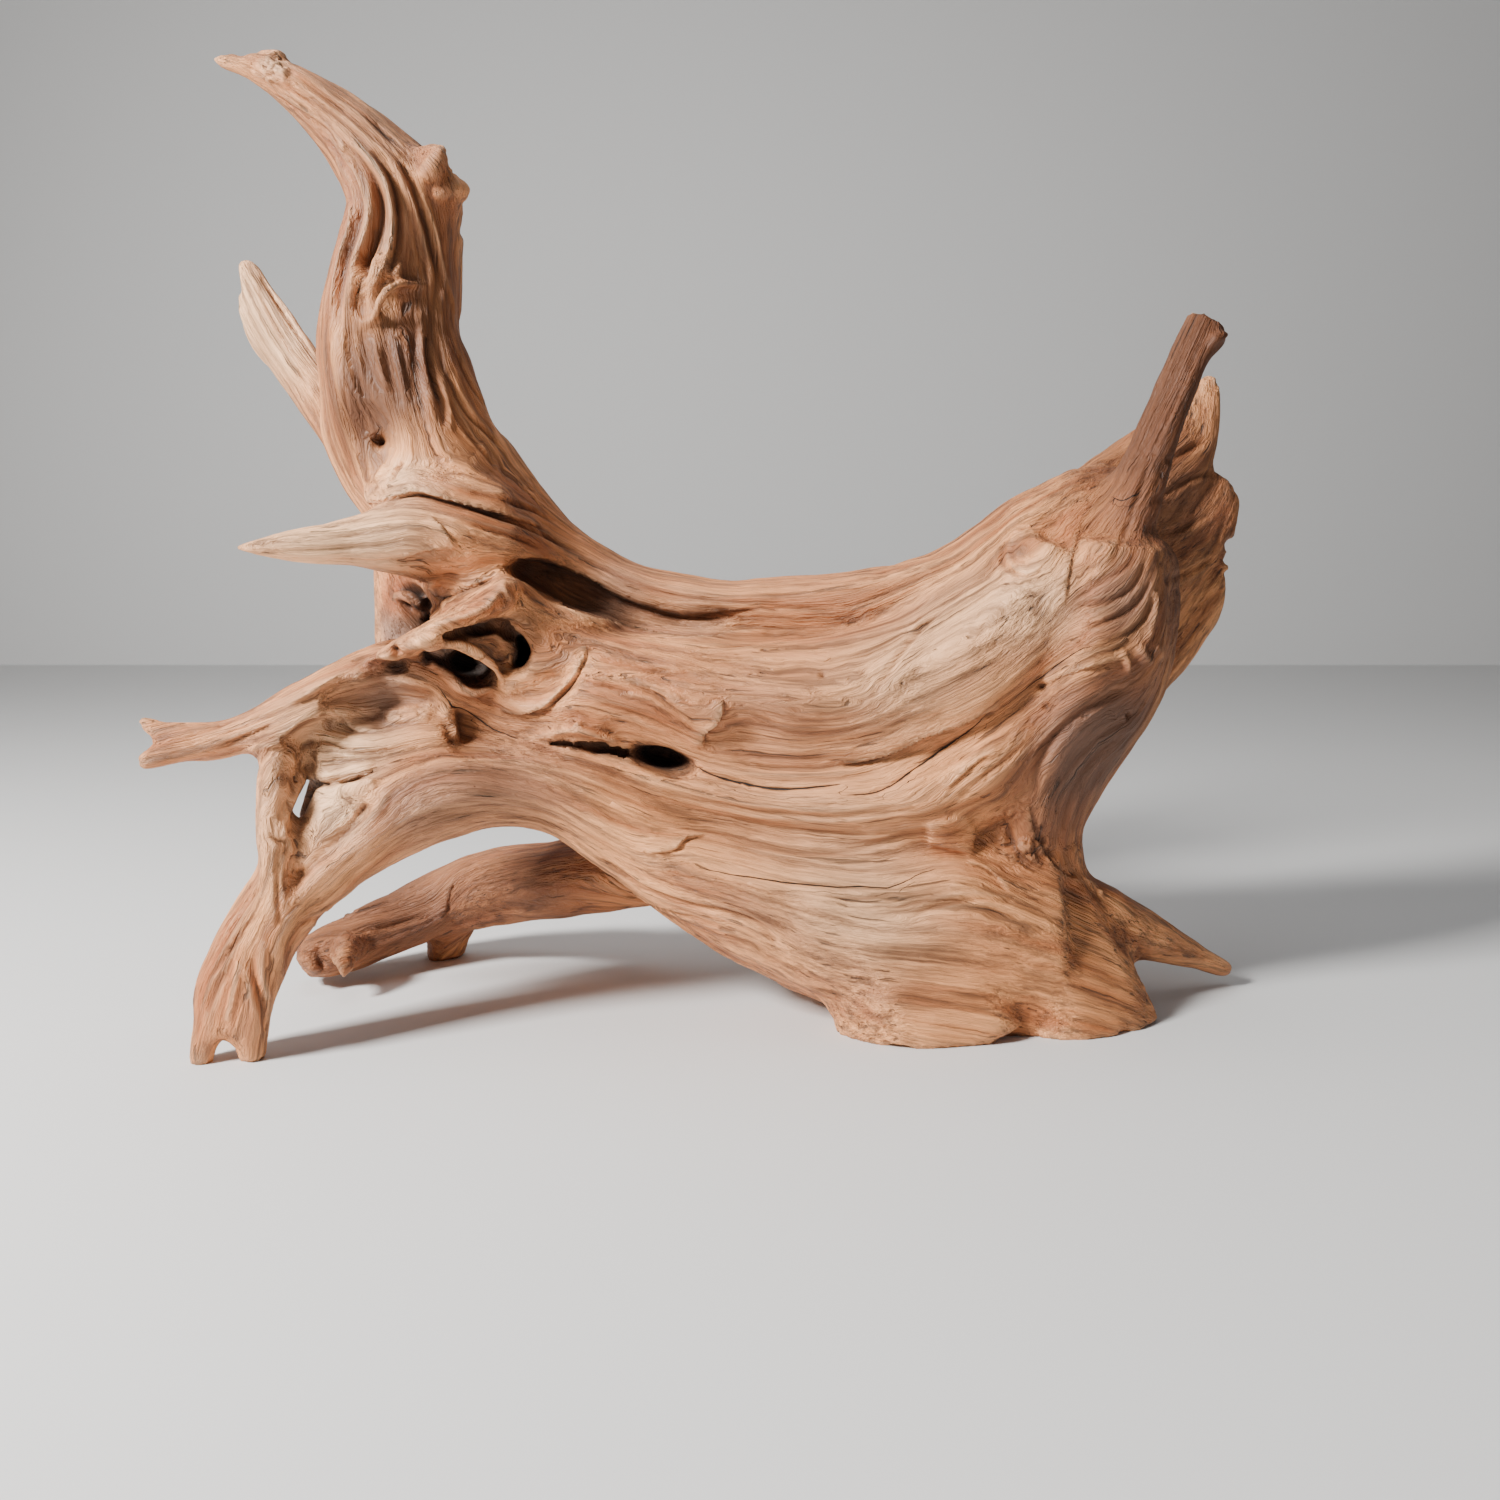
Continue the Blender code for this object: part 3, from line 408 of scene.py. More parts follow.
# Wood that is built up: rows of beads, each pixel x, pixel y, how far it stands out, and radius, in
# millimetres. Two rows or more make a sheet.
builtUp = {
    "behind the scoop": [[(326, 770, -12, 9), (320, 784, -14, 9), (315, 799, -14, 8.5),
        (308, 815, -12, 7)]],
    "face of the scoop": [[(322, 794, 4, 6), (338, 792, 5, 6), (354, 788, 5, 6), (370, 783, 4, 5)],
        [(313, 814, 4, 6), (330, 813, 6, 6.5), (346, 809, 5, 6), (360, 803, 3, 5)], [(305, 838, 3, 5),
        (318, 837, 6, 6), (331, 833, 5, 6), (343, 827, 3, 5)], [(298, 864, 2, 4), (306, 863, 4, 5),
        (314, 859, 3, 5), (322, 853, 2, 4)]],
    "filled dent": [[(447, 710, 3, 5), (451, 722, 5, 6), (455, 735, 3, 5)]],
    "rim over the scoop": [[(302, 775, 0, 3.4), (312, 776, 1, 3.6), (326, 775, 1, 3.6),
        (342, 774, 1, 3.6), (356, 771, 1, 3.4), (368, 766, 1, 3)]],
    "side of the dangling root": [[(300, 781, -2, 5), (294, 794, -2, 5), (289, 808, -2, 4.6),
        (284, 822, -2, 4.4)]],
    "lobe of the shell": [[(1216, 562, -3, 4), (1222, 567, -3, 5), (1226, 568, -3, 4)]],
    "torn crest": [[(262, 56, -4, 4), (269, 54, -4, 4.6), (277, 54, -4, 4.6), (285, 60, -4, 4)],
        [(264, 51, -4, 2.6), (270, 48, -4, 2.6), (276, 48, -4, 2.8), (284, 55, -4, 2.6)]],
    "torn edge": [[(270, 62, 1, 2.4), (278, 67, 1.5, 2.6), (284, 76, 1.5, 2.4)]],
    "torn foot": [[(256, 72, 1, 2), (264, 78, 1.5, 2.2), (274, 81, 1.5, 2.2), (284, 80, 1, 2)]],
    "blade shoulder": [[(239, 309, -1, 2.4), (244, 319, -1, 3), (251, 332, -1, 3), (259, 346, -1, 2.4)]],
    "tip bump": [[(249, 56, 0, 2.2), (256, 56, 0, 2.2)]],
    "upper knot": [[(431, 172, 0, 10), (436, 162, 0, 7.5), (440, 154, 0, 5), (443, 148, 0, 3.2)]],
    "middle knot": [[(446, 178, 0, 4), (450, 177, 0, 3.2)]],
    "side knot": [[(440, 192, 1, 7), (450, 189, 1, 6), (458, 187, 0, 4.5), (462, 187, 0, 3.2)]],
    "hook lip": [[(425, 285, 1, 2.2), (414, 284, 4, 3), (402, 284, 7, 3.6), (392, 287, 9, 4),
        (384, 294, 9, 4), (379, 303, 8, 3.8), (376, 313, 6, 3.4), (371, 321, 3, 3), (364, 323, 1, 2.6)]],
    "curled lip": [[(432, 610, 0, 2.6), (442, 603, 1, 2.6), (455, 598, 2, 2.6), (470, 593, 2, 2.6),
        (485, 589, 3, 2.6), (494, 582, 3, 2.6), (498, 573, 2, 2.2)], [(432, 626, 1, 2.6),
        (445, 622, 3, 2.6), (458, 618, 5, 2.8), (472, 614, 6, 2.8), (484, 609, 6, 2.8),
        (492, 602, 5, 2.6), (499, 592, 3, 2.2)]],
    "flake": [[(502, 577, 2, 2), (504, 588, 4, 2.2), (508, 596, 5, 2.6), (513, 601, 4, 2.6),
        (509, 606, 3, 2.6), (500, 607, 3, 2.6)]],
    "pale knob": [[(411, 645, 2, 4), (420, 643, 4, 5), (430, 641, 4, 4.6), (437, 638, 2, 3.2)]],
    "orange knob": [[(396, 596, 3, 4), (404, 595, 7, 5), (412, 598, 11, 5.6), (419, 603, 13, 5)]],
    "right of the orange knob": [[(420, 606, 6, 6), (424, 612, 4, 6)]],
    "root rim": [[(360, 662, 1, 2.4), (372, 659, 3, 2.8), (383, 657, 4, 3), (394, 658, 4, 3),
        (405, 656, 4, 2.8), (416, 654, 3, 2.6), (426, 652, 2, 2.4)]],
    "slit lip": [[(521, 739, 0, 2), (535, 737, 2, 2.4), (550, 734, 3, 2.8), (565, 731, 4, 3),
        (580, 731, 4, 3), (597, 736, 3, 3), (615, 741, 2, 2.8)]],
    "slit flake": [[(572, 730, 4, 3), (577, 724, 4, 2.6)]],
    "torn tab": [[(388, 716, 1, 2.2), (400, 712, 3, 2.6), (415, 710, 3, 2.6), (430, 707, 2, 2.4)],
        [(390, 723, 1, 2.2), (405, 722, 3, 2.6), (425, 720, 2, 2.6)]],
    "root flap": [[(240, 752, 0, 2.4), (255, 748, 2, 2.8), (269, 745, 3, 2.8), (280, 744, 2, 2.6)]],
    "root ledge": [[(281, 738, 1, 2.2), (289, 729, 2, 2.4), (303, 719, 2, 2.4), (318, 713, 1, 2)]],
    "dangling knob": [[(282, 827, 1, 4), (284, 834, 1, 4)]],
    "rear knobs": [[(303, 958, 1, 6), (312, 967, 1, 5)]],
    "rear snag": [[(334, 955, 1, 4), (339, 965, 3, 3.4), (344, 975, 3, 2.8)]],
    "stub knob": [[(1214, 339, 1, 5), (1221, 336, 1, 5), (1226, 335, 0, 3.8)]],
    "nub 1": [[(1124, 655, 2, 2.8), (1128, 662, 3, 2.8), (1131, 670, 4, 2.2)]],
    "nub 2": [[(1141, 650, 2, 3.4), (1147, 658, 3, 2.8), (1152, 662, 3, 2.2)]],
    "nub 3": [[(1159, 650, 2, 3.4), (1161, 658, 2, 2.8)]],
    "torn flake": [[(930, 824, 2, 2.4), (945, 821, 3, 2.6), (964, 817, 1, 2.6)], [(932, 832, 3, 2.4),
        (950, 833, 5, 2.6), (974, 832, 2, 2.6)], [(931, 843, 3, 2.4), (945, 846, 5, 2.6),
        (960, 849, 5, 2.6), (970, 853, 2, 2.4)]],
    "rim of the dark hole": [[(1076, 881, 1, 2.2), (1086, 880, 2, 2.4), (1095, 885, 2, 2.6),
        (1101, 892, 1, 2.4)]],
    "eye scale": [[(1016, 846, 1, 2.4), (1026, 843, 3, 3), (1036, 850, 2, 2.6)], [(1018, 852, 1, 2.4),
        (1030, 858, 2, 3), (1038, 862, 1, 2.4)]],
}

# Rims that cross a hollow: the same, but each row stands out from a straight line between its ends.
bridges = {
    "recess floor": [[(440, 636, -8, 5), (455, 633, -10, 7), (470, 633, -12, 8), (486, 636, -12, 8),
        (498, 642, -12, 8)]],
    "pit floor": [[(500, 634, -10, 8), (507, 644, -13, 9), (510, 654, -12, 8), (508, 662, -9, 6)]],
    "arch rim": [[(428, 650, -1, 3), (441, 645, 1, 4), (455, 644, 2, 5), (467, 648, 2, 5.4),
        (478, 654, 2, 5), (488, 661, 1, 4.4), (496, 669, 0, 3.6), (500, 678, -2, 3)]],
    "lower rim": [[(432, 662, -1, 3), (443, 670, 0, 4), (453, 680, 1, 5), (464, 690, 1, 5),
        (476, 693, 0, 4.4), (490, 688, -1, 3.4)]],
}

# Wood that is cut away, in the same way.
cutAway = {
    "knot notch": [[(459, 158, 16, 7), (459, 158, -30, 7)], [(454, 168, 16, 4), (454, 168, -30, 4)]],
    "below the knots": [[(470, 214, 16, 6), (470, 214, -30, 6)], [(466, 232, 16, 6), (466, 232, -30, 6)]],
    "beside the dangling root": [[(288, 836, -2, 2.6), (286, 860, -3, 3.4), (285, 885, -3, 3.2),
        (283, 905, -1, 2.4)]],
    "left of the hook": [[(366, 285, 0, 3), (363, 298, -1, 4), (362, 310, -1, 4), (364, 318, 0, 3)]],
    "under the torn flake": [[(928, 846, 0, 2), (944, 855, -1, 2.8), (960, 859, -1, 2.8),
        (972, 865, 0, 2)]],
    "notch of the shell": [[(1231, 545, 8, 7), (1231, 545, -16, 7)]],
    "under the fold": [[(380, 512, 0, 2.6), (400, 506, -1, 3), (425, 503, -1, 2.6), (450, 507, 0, 2)]],
    "under the spike plate": [[(400, 577, -2, 3), (415, 580, -5, 4), (428, 588, -6, 4)]],
    "blade step": [[(234, 264, 5, 4), (234, 276, 5, 5), (236, 290, 5, 4.5)], [(234, 264, -12, 4),
        (234, 276, -12, 5), (236, 290, -12, 4.5)]],
    "blade split": [[(251, 255, 4, 1.8), (251, 255, -10, 1.8)]],
    "tip notch": [[(239, 51, 6, 4.6), (239, 51, -14, 4.6)], [(258, 46, 6, 3), (258, 46, -14, 3)]],
    "fold crevice": [[(373, 511, -2, 2.6), (385, 507, -3, 3), (398, 502, -2, 2.4)]],
    "under the curled lip": [[(446, 634, -3, 5), (462, 630, -5, 7), (480, 626, -6, 8), (498, 624, -4, 8),
        (510, 632, -3, 8)]],
    "slit": [[(526, 742, 0, 2.2), (545, 743, -2, 3), (565, 743, -4, 4.4), (585, 744, -5, 5.4),
        (605, 748, -6, 6.4), (622, 754, -6, 7)]],
    "under the tab": [[(370, 728, 0, 2.6), (382, 728, -2, 3.4), (396, 728, -1, 2.4)]],
    "root gouge": [[(292, 706, 1, 2.6), (305, 702, 1, 4), (320, 694, 1, 5), (336, 688, 1, 6),
        (352, 682, 1, 7)]],
    "rear split": [[(318, 944, 0, 2.6), (319, 956, -1, 3.6), (323, 967, -1, 4)]],
    "rear hole": [[(341, 945, -1, 4)]],
    "plate end": [[(984, 717, 0, 2.4), (995, 714, -2, 3.4), (1001, 714, -2, 2.8)]],
    "dark hole": [[(1082, 887, -1, 3.6), (1084, 889, -6, 3.4)]],
    "leg plate shade": [[(655, 856, 0, 2), (668, 854, 0, 2.6), (680, 848, 0, 2.4)]],
    "knob notch": [[(1222, 328, 2, 2.6), (1230, 327, 2, 2.6)]],
}

# Rough torn wood: pixel, radius and height in millimetres.
roughSpots = {
    "torn tip": ((274, 66), 13, 2.2),
    "horn patch": ((334, 157), 7, 1.2),
    "root fibre": ((372, 664), 10, 1.2),
    "bark": ((1024, 845), 22, 1.6),
    "bark 2": ((1012, 810), 16, 1.0),
    "base edge": ((1095, 890), 12, 1.2),
    "rear snag": ((335, 955), 14, 1.6),
    "root end": ((143, 757), 8, 1.0),
    "lip": ((455, 612), 14, 0.9),
    "shell edge": ((1212, 385), 12, 1.4),
    "knots": ((448, 165), 14, 1.0),
}

# Colour of places on the front: pixel, radius in millimetres, then how pale, red and grey it is.
tones = {
    "blade": ((285, 340), 45, (1.0, 0.0, 0.0)),
    "blade top": ((250, 290), 35, (0.9, 0.1, 0.0)),
    "spike": ((310, 550), 50, (0.9, 0.0, 0.0)),
    "spike root": ((390, 540), 36, (0.6, 0.0, 0.0)),
    "pale bulge": ((405, 475), 22, (0.8, 0.0, 0.0)),
    "fold": ((520, 515), 40, (-0.3, 0.6, 0.0)),
    "fold 2": ((590, 560), 35, (0.0, 0.3, 0.0)),
    "horn": ((390, 230), 55, (-0.4, 0.0, 0.15)),
    "horn upper": ((350, 120), 50, (-0.4, 0.0, 0.1)),
    "horn left": ((342, 300), 26, (-0.1, 0.0, 0.0)),
    "horn lower": ((395, 370), 50, (-1.0, 0.2, 0.0)),
    "horn lower 2": ((360, 420), 34, (-0.7, 0.1, 0.0)),
    "horn right": ((450, 300), 40, (-0.5, 0.0, 0.0)),
    "horn tip": ((276, 64), 12, (0.9, 0.9, 0.0)),
    "hook": ((390, 288), 7, (1.3, 0.0, -0.2)),
    "wall": ((400, 625), 28, (-0.2, 0.0, 1.0)),
    "orange knob": ((407, 597), 17, (-0.1, 1.6, -1.8)),
    "pale knob": ((423, 643), 8, (0.7, 0.5, 0.0)),
    "grey dish": ((388, 700), 30, (0.0, 0.0, 0.9)),
    "torn tab": ((408, 715), 10, (0.2, 1.0, -1.0)),
    "root rim": ((375, 662), 12, (-0.2, 0.9, 0.0)),
    "root": ((250, 720), 50, (0.1, 0.3, 0.0)),
    "root low": ((340, 748), 38, (1.0, 0.0, 0.0)),
    "root end": ((155, 750), 18, (-0.2, 0.6, 0.0)),
    "long hollow": ((610, 605), 30, (0.0, 0.0, 0.9)),
    "long hollow 2": ((700, 625), 30, (0.0, 0.0, 0.5)),
    "scoop": ((345, 815), 26, (1.0, 0.0, 0.0)),
    "dangling root": ((268, 830), 40, (0.4, 0.3, 0.0)),
    "front leg": ((500, 790), 55, (-0.42, -0.1, 0.3)),
    "front leg 2": ((410, 815), 35, (-0.35, -0.1, 0.3)),
    "foot": ((225, 1000), 45, (0.0, 0.6, 0.0)),
    "rear leg": ((400, 910), 70, (-0.9, 0.6, 0.1)),
    "rear leg 2": ((530, 870), 60, (-0.8, 0.5, 0.1)),
    "rear leg end": ((310, 950), 40, (-0.5, 0.5, 0.0)),
    "trunk left": ((640, 690), 50, (0.0, 0.5, 0.0)),
    "trunk": ((760, 700), 45, (0.1, 0.35, 0.15)),
    "trunk right": ((900, 680), 50, (0.5, 0.0, 0.0)),
    "trunk right 2": ((960, 620), 50, (0.5, 0.0, 0.0)),
    "trunk low": ((800, 830), 70, (0.3, 0.3, 0.0)),
    "base": ((870, 910), 60, (0.7, 0.1, 0.0)),
    "torn flake": ((945, 836), 12, (-0.6, 0.7, 0.0)),
    "bark": ((1030, 850), 24, (-0.5, 0.5, 0.0)),
    "collar": ((1040, 600), 40, (0.7, 0.1, 0.0)),
    "side": ((1105, 740), 55, (-1.3, 0.1, 0.3)),
    "side 2": ((1060, 800), 40, (-0.4, 0.1, 0.1)),
    "stub": ((1160, 410), 70, (-1.6, 0.9, 0.0)),
    "stub top": ((1205, 330), 30, (-0.8, 0.7, 0.0)),
    "stub foot": ((1130, 520), 30, (-0.5, 0.5, 0.0)),
    "swirl": ((1120, 600), 30, (-0.4, 0.2, 0.5)),
    "burl": ((1020, 556), 12, (-0.9, 0.4, 0.1)),
    "shell": ((1190, 500), 60, (-0.75, 0.4, 0.1)),
    "shell low": ((1180, 600), 60, (-0.75, 0.4, 0.1)),
    "saddle": ((820, 590), 60, (0.1, 0.6, 0.0)),
}

# The sawn end of the stub: a place on its plane, the way it faces, how far the plane reaches, and
# how far under it wood is drawn up to it.
sawnEnd = {"place": (0.3769, 0.009, 0.563), "way": (0.38, 0.16, 0.91), "reach": 0.035, "depth": 0.0012}


def meshPoints(mesh):
    points = np.empty(len(mesh.vertices) * 3)
    mesh.vertices.foreach_get("co", points)
    return points.reshape(-1, 3)


def meshEdges(mesh):
    edges = np.empty(len(mesh.edges) * 2, dtype=np.int64)
    mesh.edges.foreach_get("vertices", edges)
    return edges.reshape(-1, 2)


def meshNormals(mesh):
    normals = np.empty(len(mesh.vertices) * 3)
    mesh.vertex_normals.foreach_get("vector", normals)
    return normals.reshape(-1, 3)


def unit(vectors):
    return vectors / (np.linalg.norm(vectors, axis=-1, keepdims=True) + 1e-9)


def spread(edges, values, rounds):
    # each value moves towards the mean of its neighbours
    count = len(values)
    first, second = edges[:, 0], edges[:, 1]
    total = np.bincount(first, minlength=count) + np.bincount(second, minlength=count)
    flat = values.reshape(count, -1)
    for _ in range(rounds):
        mean = np.empty_like(flat)
        for column in range(flat.shape[1]):
            mean[:, column] = (
                np.bincount(first, flat[second, column], count)
                + np.bincount(second, flat[first, column], count)
            ) / total
        flat = 0.5 * flat + 0.5 * mean
    return flat.reshape(values.shape)


def smoothLine(line, step):
    # a curve through the given places, with a place every step
    line = [np.array(place, dtype=float) for place in line]
    places = []
    last = len(line) - 1
    for span in range(last):
        before, start, end, after = (line[min(max(span + k, 0), last)] for k in (-1, 0, 1, 2))
        pieces = max(int(np.linalg.norm((end - start)[:3]) / step), 1)
        for piece in range(pieces):
            t = piece / pieces
            places.append(0.5 * (2 * start + (end - before) * t
                                 + (2 * before - 5 * start + 4 * end - after) * t ** 2
                                 + (3 * start - before - 3 * end + after) * t ** 3))
    places.append(line[-1])
    return np.array(places)


def bakeModifiers(obj):
    graph = bpy.context.evaluated_depsgraph_get()
    graph.update()
    baked = bpy.data.meshes.new_from_object(obj.evaluated_get(graph))
    obj.modifiers.clear()
    obj.data = baked


def treeOf(obj):
    return BVHTree.FromObject(obj, bpy.context.evaluated_depsgraph_get())


def frontHits(tree, pixels):
    # where the picture's pixels meet the wood, with the way the surface faces there
    origin = Vector(photoCamera["place"])
    hits = [tree.ray_cast(origin, rayThrough(u, v)) for u, v in pixels]
    return np.array([(*hit[0], *hit[1]) for hit in hits if hit[0] is not None])


def backHits(tree, places):
    hits = [tree.ray_cast(Vector((x, 1, z)), Vector((0, -1, 0))) for x, z in places]
    return np.array([(*hit[0], *hit[1]) for hit in hits if hit[0] is not None])


def roundedSkin(node, settings):
    # a copy of the CAD mesh, merged and rounded
    obj = bpy.data.objects.new("driftwoodSkin", node.data.copy())
    bpy.context.scene.collection.objects.link(obj)
    skin = bmesh.new()
    skin.from_mesh(obj.data)
    bmesh.ops.remove_doubles(skin, verts=skin.verts, dist=1e-5)
    skin.to_mesh(obj.data)
    skin.free()
    rounded = obj.modifiers.new("rounded", "SUBSURF")
    rounded.levels = rounded.render_levels = settings["rounding"]
    bakeModifiers(obj)
    return obj


def nearestDistance(tree, u, v):
    # how far off the wood is at a pixel, or at the closest pixel that has some
    origin = Vector(photoCamera["place"])
    for ring in range(0, wood["searchReach"], wood["searchStep"]):
        found = []
        for turn in range(wood["searchTurns"] if ring else 1):
            angle = turn * math.tau / wood["searchTurns"]
            hit = tree.ray_cast(origin, rayThrough(u + ring * math.cos(angle), v + ring * math.sin(angle)))
            if hit[0] is not None:
                found.append(hit[3])
        if found:
            return min(found)
    return None


def rimDistance(tree, u, v):
    # how far off the closest wood is within a few pixels
    steps = (-wood["rimReach"], 0, wood["rimReach"])
    return min(nearestDistance(tree, u + right, v + down) for right in steps for down in steps)


def beadPlaces(tree, name, rows, bridging):
    # places close together along each row, or across all the rows of a sheet
    origin = Vector(photoCamera["place"])
    placed = []
    for row in rows:
        places = []
        if bridging:
            ends = [rimDistance(tree, u, v) for u, v, _, _ in (row[0], row[-1])]
            distances = np.linspace(*ends, len(row))
        else:
            distances = [nearestDistance(tree, u, v) for u, v, _, _ in row]
        for distance, (u, v, out, radius) in zip(distances, row):
            if distance is None:
                print("no wood near", name, u, v)
                continue
            places.append((*(origin + rayThrough(u, v) * (distance - out / 1000)), radius / 1000))
        placed.append(smoothLine(places, min(place[3] for place in places) * wood["rowSpacing"]))
    if len(placed) == 1:
        return placed[0]
    count = max(len(row) for row in placed)
    share = np.linspace(0, 1, count)
    even = [np.stack([np.interp(share, np.linspace(0, 1, len(row)), row[:, k]) for k in range(4)], 1)
            for row in placed]
    return np.concatenate([smoothLine([row[index] for row in even], even[0][index, 3] * wood["sheetSpacing"])
                           for index in range(count)])


def addBeads(mesh, tree, forms, bridging=False):
    # adds a ball at each place of each form to the mesh
    joined = bmesh.new()
    joined.from_mesh(mesh)
    total = 0
    for name, rows in forms.items():
        places = beadPlaces(tree, name, rows, bridging)
        total += len(places)
        for start in range(0, len(places), wood["ballBatch"]):
            balls = bmesh.new()
            for x, y, z, radius in places[start:start + wood["ballBatch"]]:
                fineness = 2 if radius > wood["smallBall"] else 1
                place = Matrix.Translation((x, y, z))
                bmesh.ops.create_icosphere(balls, subdivisions=fineness, radius=radius, matrix=place)
            ballMesh = bpy.data.meshes.new("balls")
            balls.to_mesh(ballMesh)
            balls.free()
            joined.from_mesh(ballMesh)
            bpy.data.meshes.remove(ballMesh)
    joined.to_mesh(mesh)
    joined.free()
    print("balls placed:", total)


def remesh(obj, cell, smoothing):
    cells = obj.modifiers.new("cells", "REMESH")
    cells.mode = "VOXEL"
    cells.voxel_size = cell
    if smoothing:
        soft = obj.modifiers.new("soft", "SMOOTH")
        soft.factor = 0.5
        soft.iterations = smoothing
    bakeModifiers(obj)


def keepLargest(obj):
    # drops loose crumbs that the cuts leave
    edges = meshEdges(obj.data)
    label = np.arange(len(obj.data.vertices))
    while True:
        low = np.minimum(label[edges[:, 0]], label[edges[:, 1]])
        new = label.copy()
        np.minimum.at(new, edges[:, 0], low)
        np.minimum.at(new, edges[:, 1], low)
        new = new[new]
        if (new == label).all():
            break
        label = new
    main = np.bincount(label).argmax()
    if (label == main).all():
        return
    crumbs = bmesh.new()
    crumbs.from_mesh(obj.data)
    loose = [vert for vert in crumbs.verts if label[vert.index] != main]
    bmesh.ops.delete(crumbs, geom=loose, context="VERTS")
    crumbs.to_mesh(obj.data)
    crumbs.free()
    print("crumbs dropped:", int((label != main).sum()))


def buildUpAndCut(obj, tree, settings):
    addBeads(obj.data, tree, builtUp)
    addBeads(obj.data, tree, bridges, bridging=True)
    remesh(obj, settings["cell"], 0)
    cutterMesh = bpy.data.meshes.new("cutter")
    cutter = bpy.data.objects.new("cutter", cutterMesh)
    bpy.context.scene.collection.objects.link(cutter)
    addBeads(cutterMesh, tree, cutAway)
    remesh(cutter, settings["cell"], 2)
    cut = obj.modifiers.new("cut", "BOOLEAN")
    cut.operation = "DIFFERENCE"
    cut.solver = "MANIFOLD"
    cut.object = cutter
    bakeModifiers(obj)
    bpy.data.objects.remove(cutter)
    remesh(obj, settings["cell"], settings["smoothing"])
    keepLargest(obj)


def carvedSamples(tree, lines, hitter, step):
    # every line as places on the surface, with its way, the way the surface faces, and its fade at the ends
    found = {}
    for name, (kind, width, height, line) in lines.items():
        hits = hitter(tree, smoothLine(line, step))
        if len(hits) < 4:
            print("no wood under", name)
            continue
        places = hits[:, :3]
        way = unit(np.gradient(places, axis=0))
        facing = hits[:, 3:]
        for _ in range(4):
            facing[1:-1] = (facing[:-2] + facing[1:-1] + facing[2:]) / 3
        share = np.linspace(0, 1, len(places))
        found[name] = (kind, width / 1000, height / 1000, places, way, unit(facing),
                       np.clip(np.sin(share * math.pi), 0, 1) ** 0.5)
    return found


def carve(points, normals, samples):
    # how far each point moves for all the lines, and its distance across the nearest crack
    move = np.zeros_like(points)
    crack = np.full(len(points), carving["farFromCracks"])
    crackWidth = np.zeros(len(points))
    for kind, width, height, places, way, facing, fade in samples.values():
        reach = max(width * carving["reach"], carving["leastReach"])
        low = places.min(axis=0) - reach
        high = places.max(axis=0) + reach
        near = np.flatnonzero(((points > low) & (points < high)).all(axis=1))
        if not len(near):
            continue
        gaps = points[near][:, None, :] - places[None, :, :]
        far = np.einsum("ijk,ijk->ij", gaps, gaps)
        closest = far.argmin(axis=1)
        distance = np.sqrt(far[np.arange(len(near)), closest])
        keep = distance < reach
        near, closest, distance = near[keep], closest[keep], distance[keep]
        gap = points[near] - places[closest]
        side = np.cross(facing[closest], way[closest])
        across = np.einsum("ij,ij->i", gap, side)
        along = np.einsum("ij,ij->i", gap, way[closest])
        towards = np.clip(np.einsum("ij,ij->i", normals[near], facing[closest]) * carving["facing"], 0, 1)
        share, least = carving["alongFade"]
        strength = fade[closest] * height * np.exp(-(along / (width * share + least)) ** 2) * towards
        spot = across / width
        if kind == "groove":
            high, place, spreadOut = carving["bank"]
            lift = -np.exp(-spot ** 2) + high * np.exp(-((np.abs(spot) - place) / spreadOut) ** 2)
        elif kind == "ridge":
            deep, place, spreadOut = carving["foot"]
            lift = np.exp(-spot ** 2) - deep * np.exp(-((np.abs(spot) - place) / spreadOut) ** 2)
        elif kind == "crack":
            nearer = np.abs(across) < np.abs(crack[near])
            crack[near[nearer]] = across[nearer]
            dip = carving["crackDip"]
            crackWidth[near[nearer]] = (fade[closest] * width * np.exp(-(along / dip) ** 2))[nearer]
            lift = -0.5 * np.exp(-(across / dip) ** 2)
            strength = np.minimum(strength, carving["deepestCrack"])
        else:
            (top, topFade), (foot, footFade) = carving["ledgeTop"], carving["ledgeFoot"]
            lift = np.where(spot > 0, top * np.exp(-spot * topFade), -foot * np.exp(spot * footFade))
            lift *= np.clip(np.abs(spot) * 3, 0, 1)
            over, place = carving["overhang"]
            move[near] -= side * (strength * over * np.exp(-np.abs(spot - place) * 2))[:, None]
        move[near] += normals[near] * (strength * lift)[:, None]
    return move, crack, crackWidth


def dentMoves(points, normals, tree, dents, hitter):
    move = np.zeros_like(points)
    for spot, radius, height in dents.values():
        hit = hitter(tree, [spot])
        if not len(hit):
            continue
        distance = np.linalg.norm(points - hit[0, :3], axis=1) * 1000
        facing = np.clip(normals @ hit[0, 3:], 0, 1)
        move += hit[0, 3:] * (height / 1000 * np.exp(-(distance / radius) ** 2) * facing)[:, None]
    return move


def roughMoves(points, normals, tree):
    # lumpy bark: two sizes of bump, strongest in the middle of each spot
    move = np.zeros_like(points)
    for spot, radius, height in roughSpots.values():
        hit = frontHits(tree, [spot])
        if not len(hit):
            continue
        distance = np.linalg.norm(points - hit[0, :3], axis=1) * 1000
        near = np.flatnonzero(distance < radius * roughness["reach"])
        for index in near:
            place = Vector(points[index])
            wave = noise.noise(place * roughness["coarse"])
            wave += roughness["fineShare"] * noise.noise(place * roughness["fine"])
            fade = math.exp(-(distance[index] / radius) ** 4)
            move[index] = normals[index] * (height / 1000 * wave * fade * roughness["strength"])
    return move


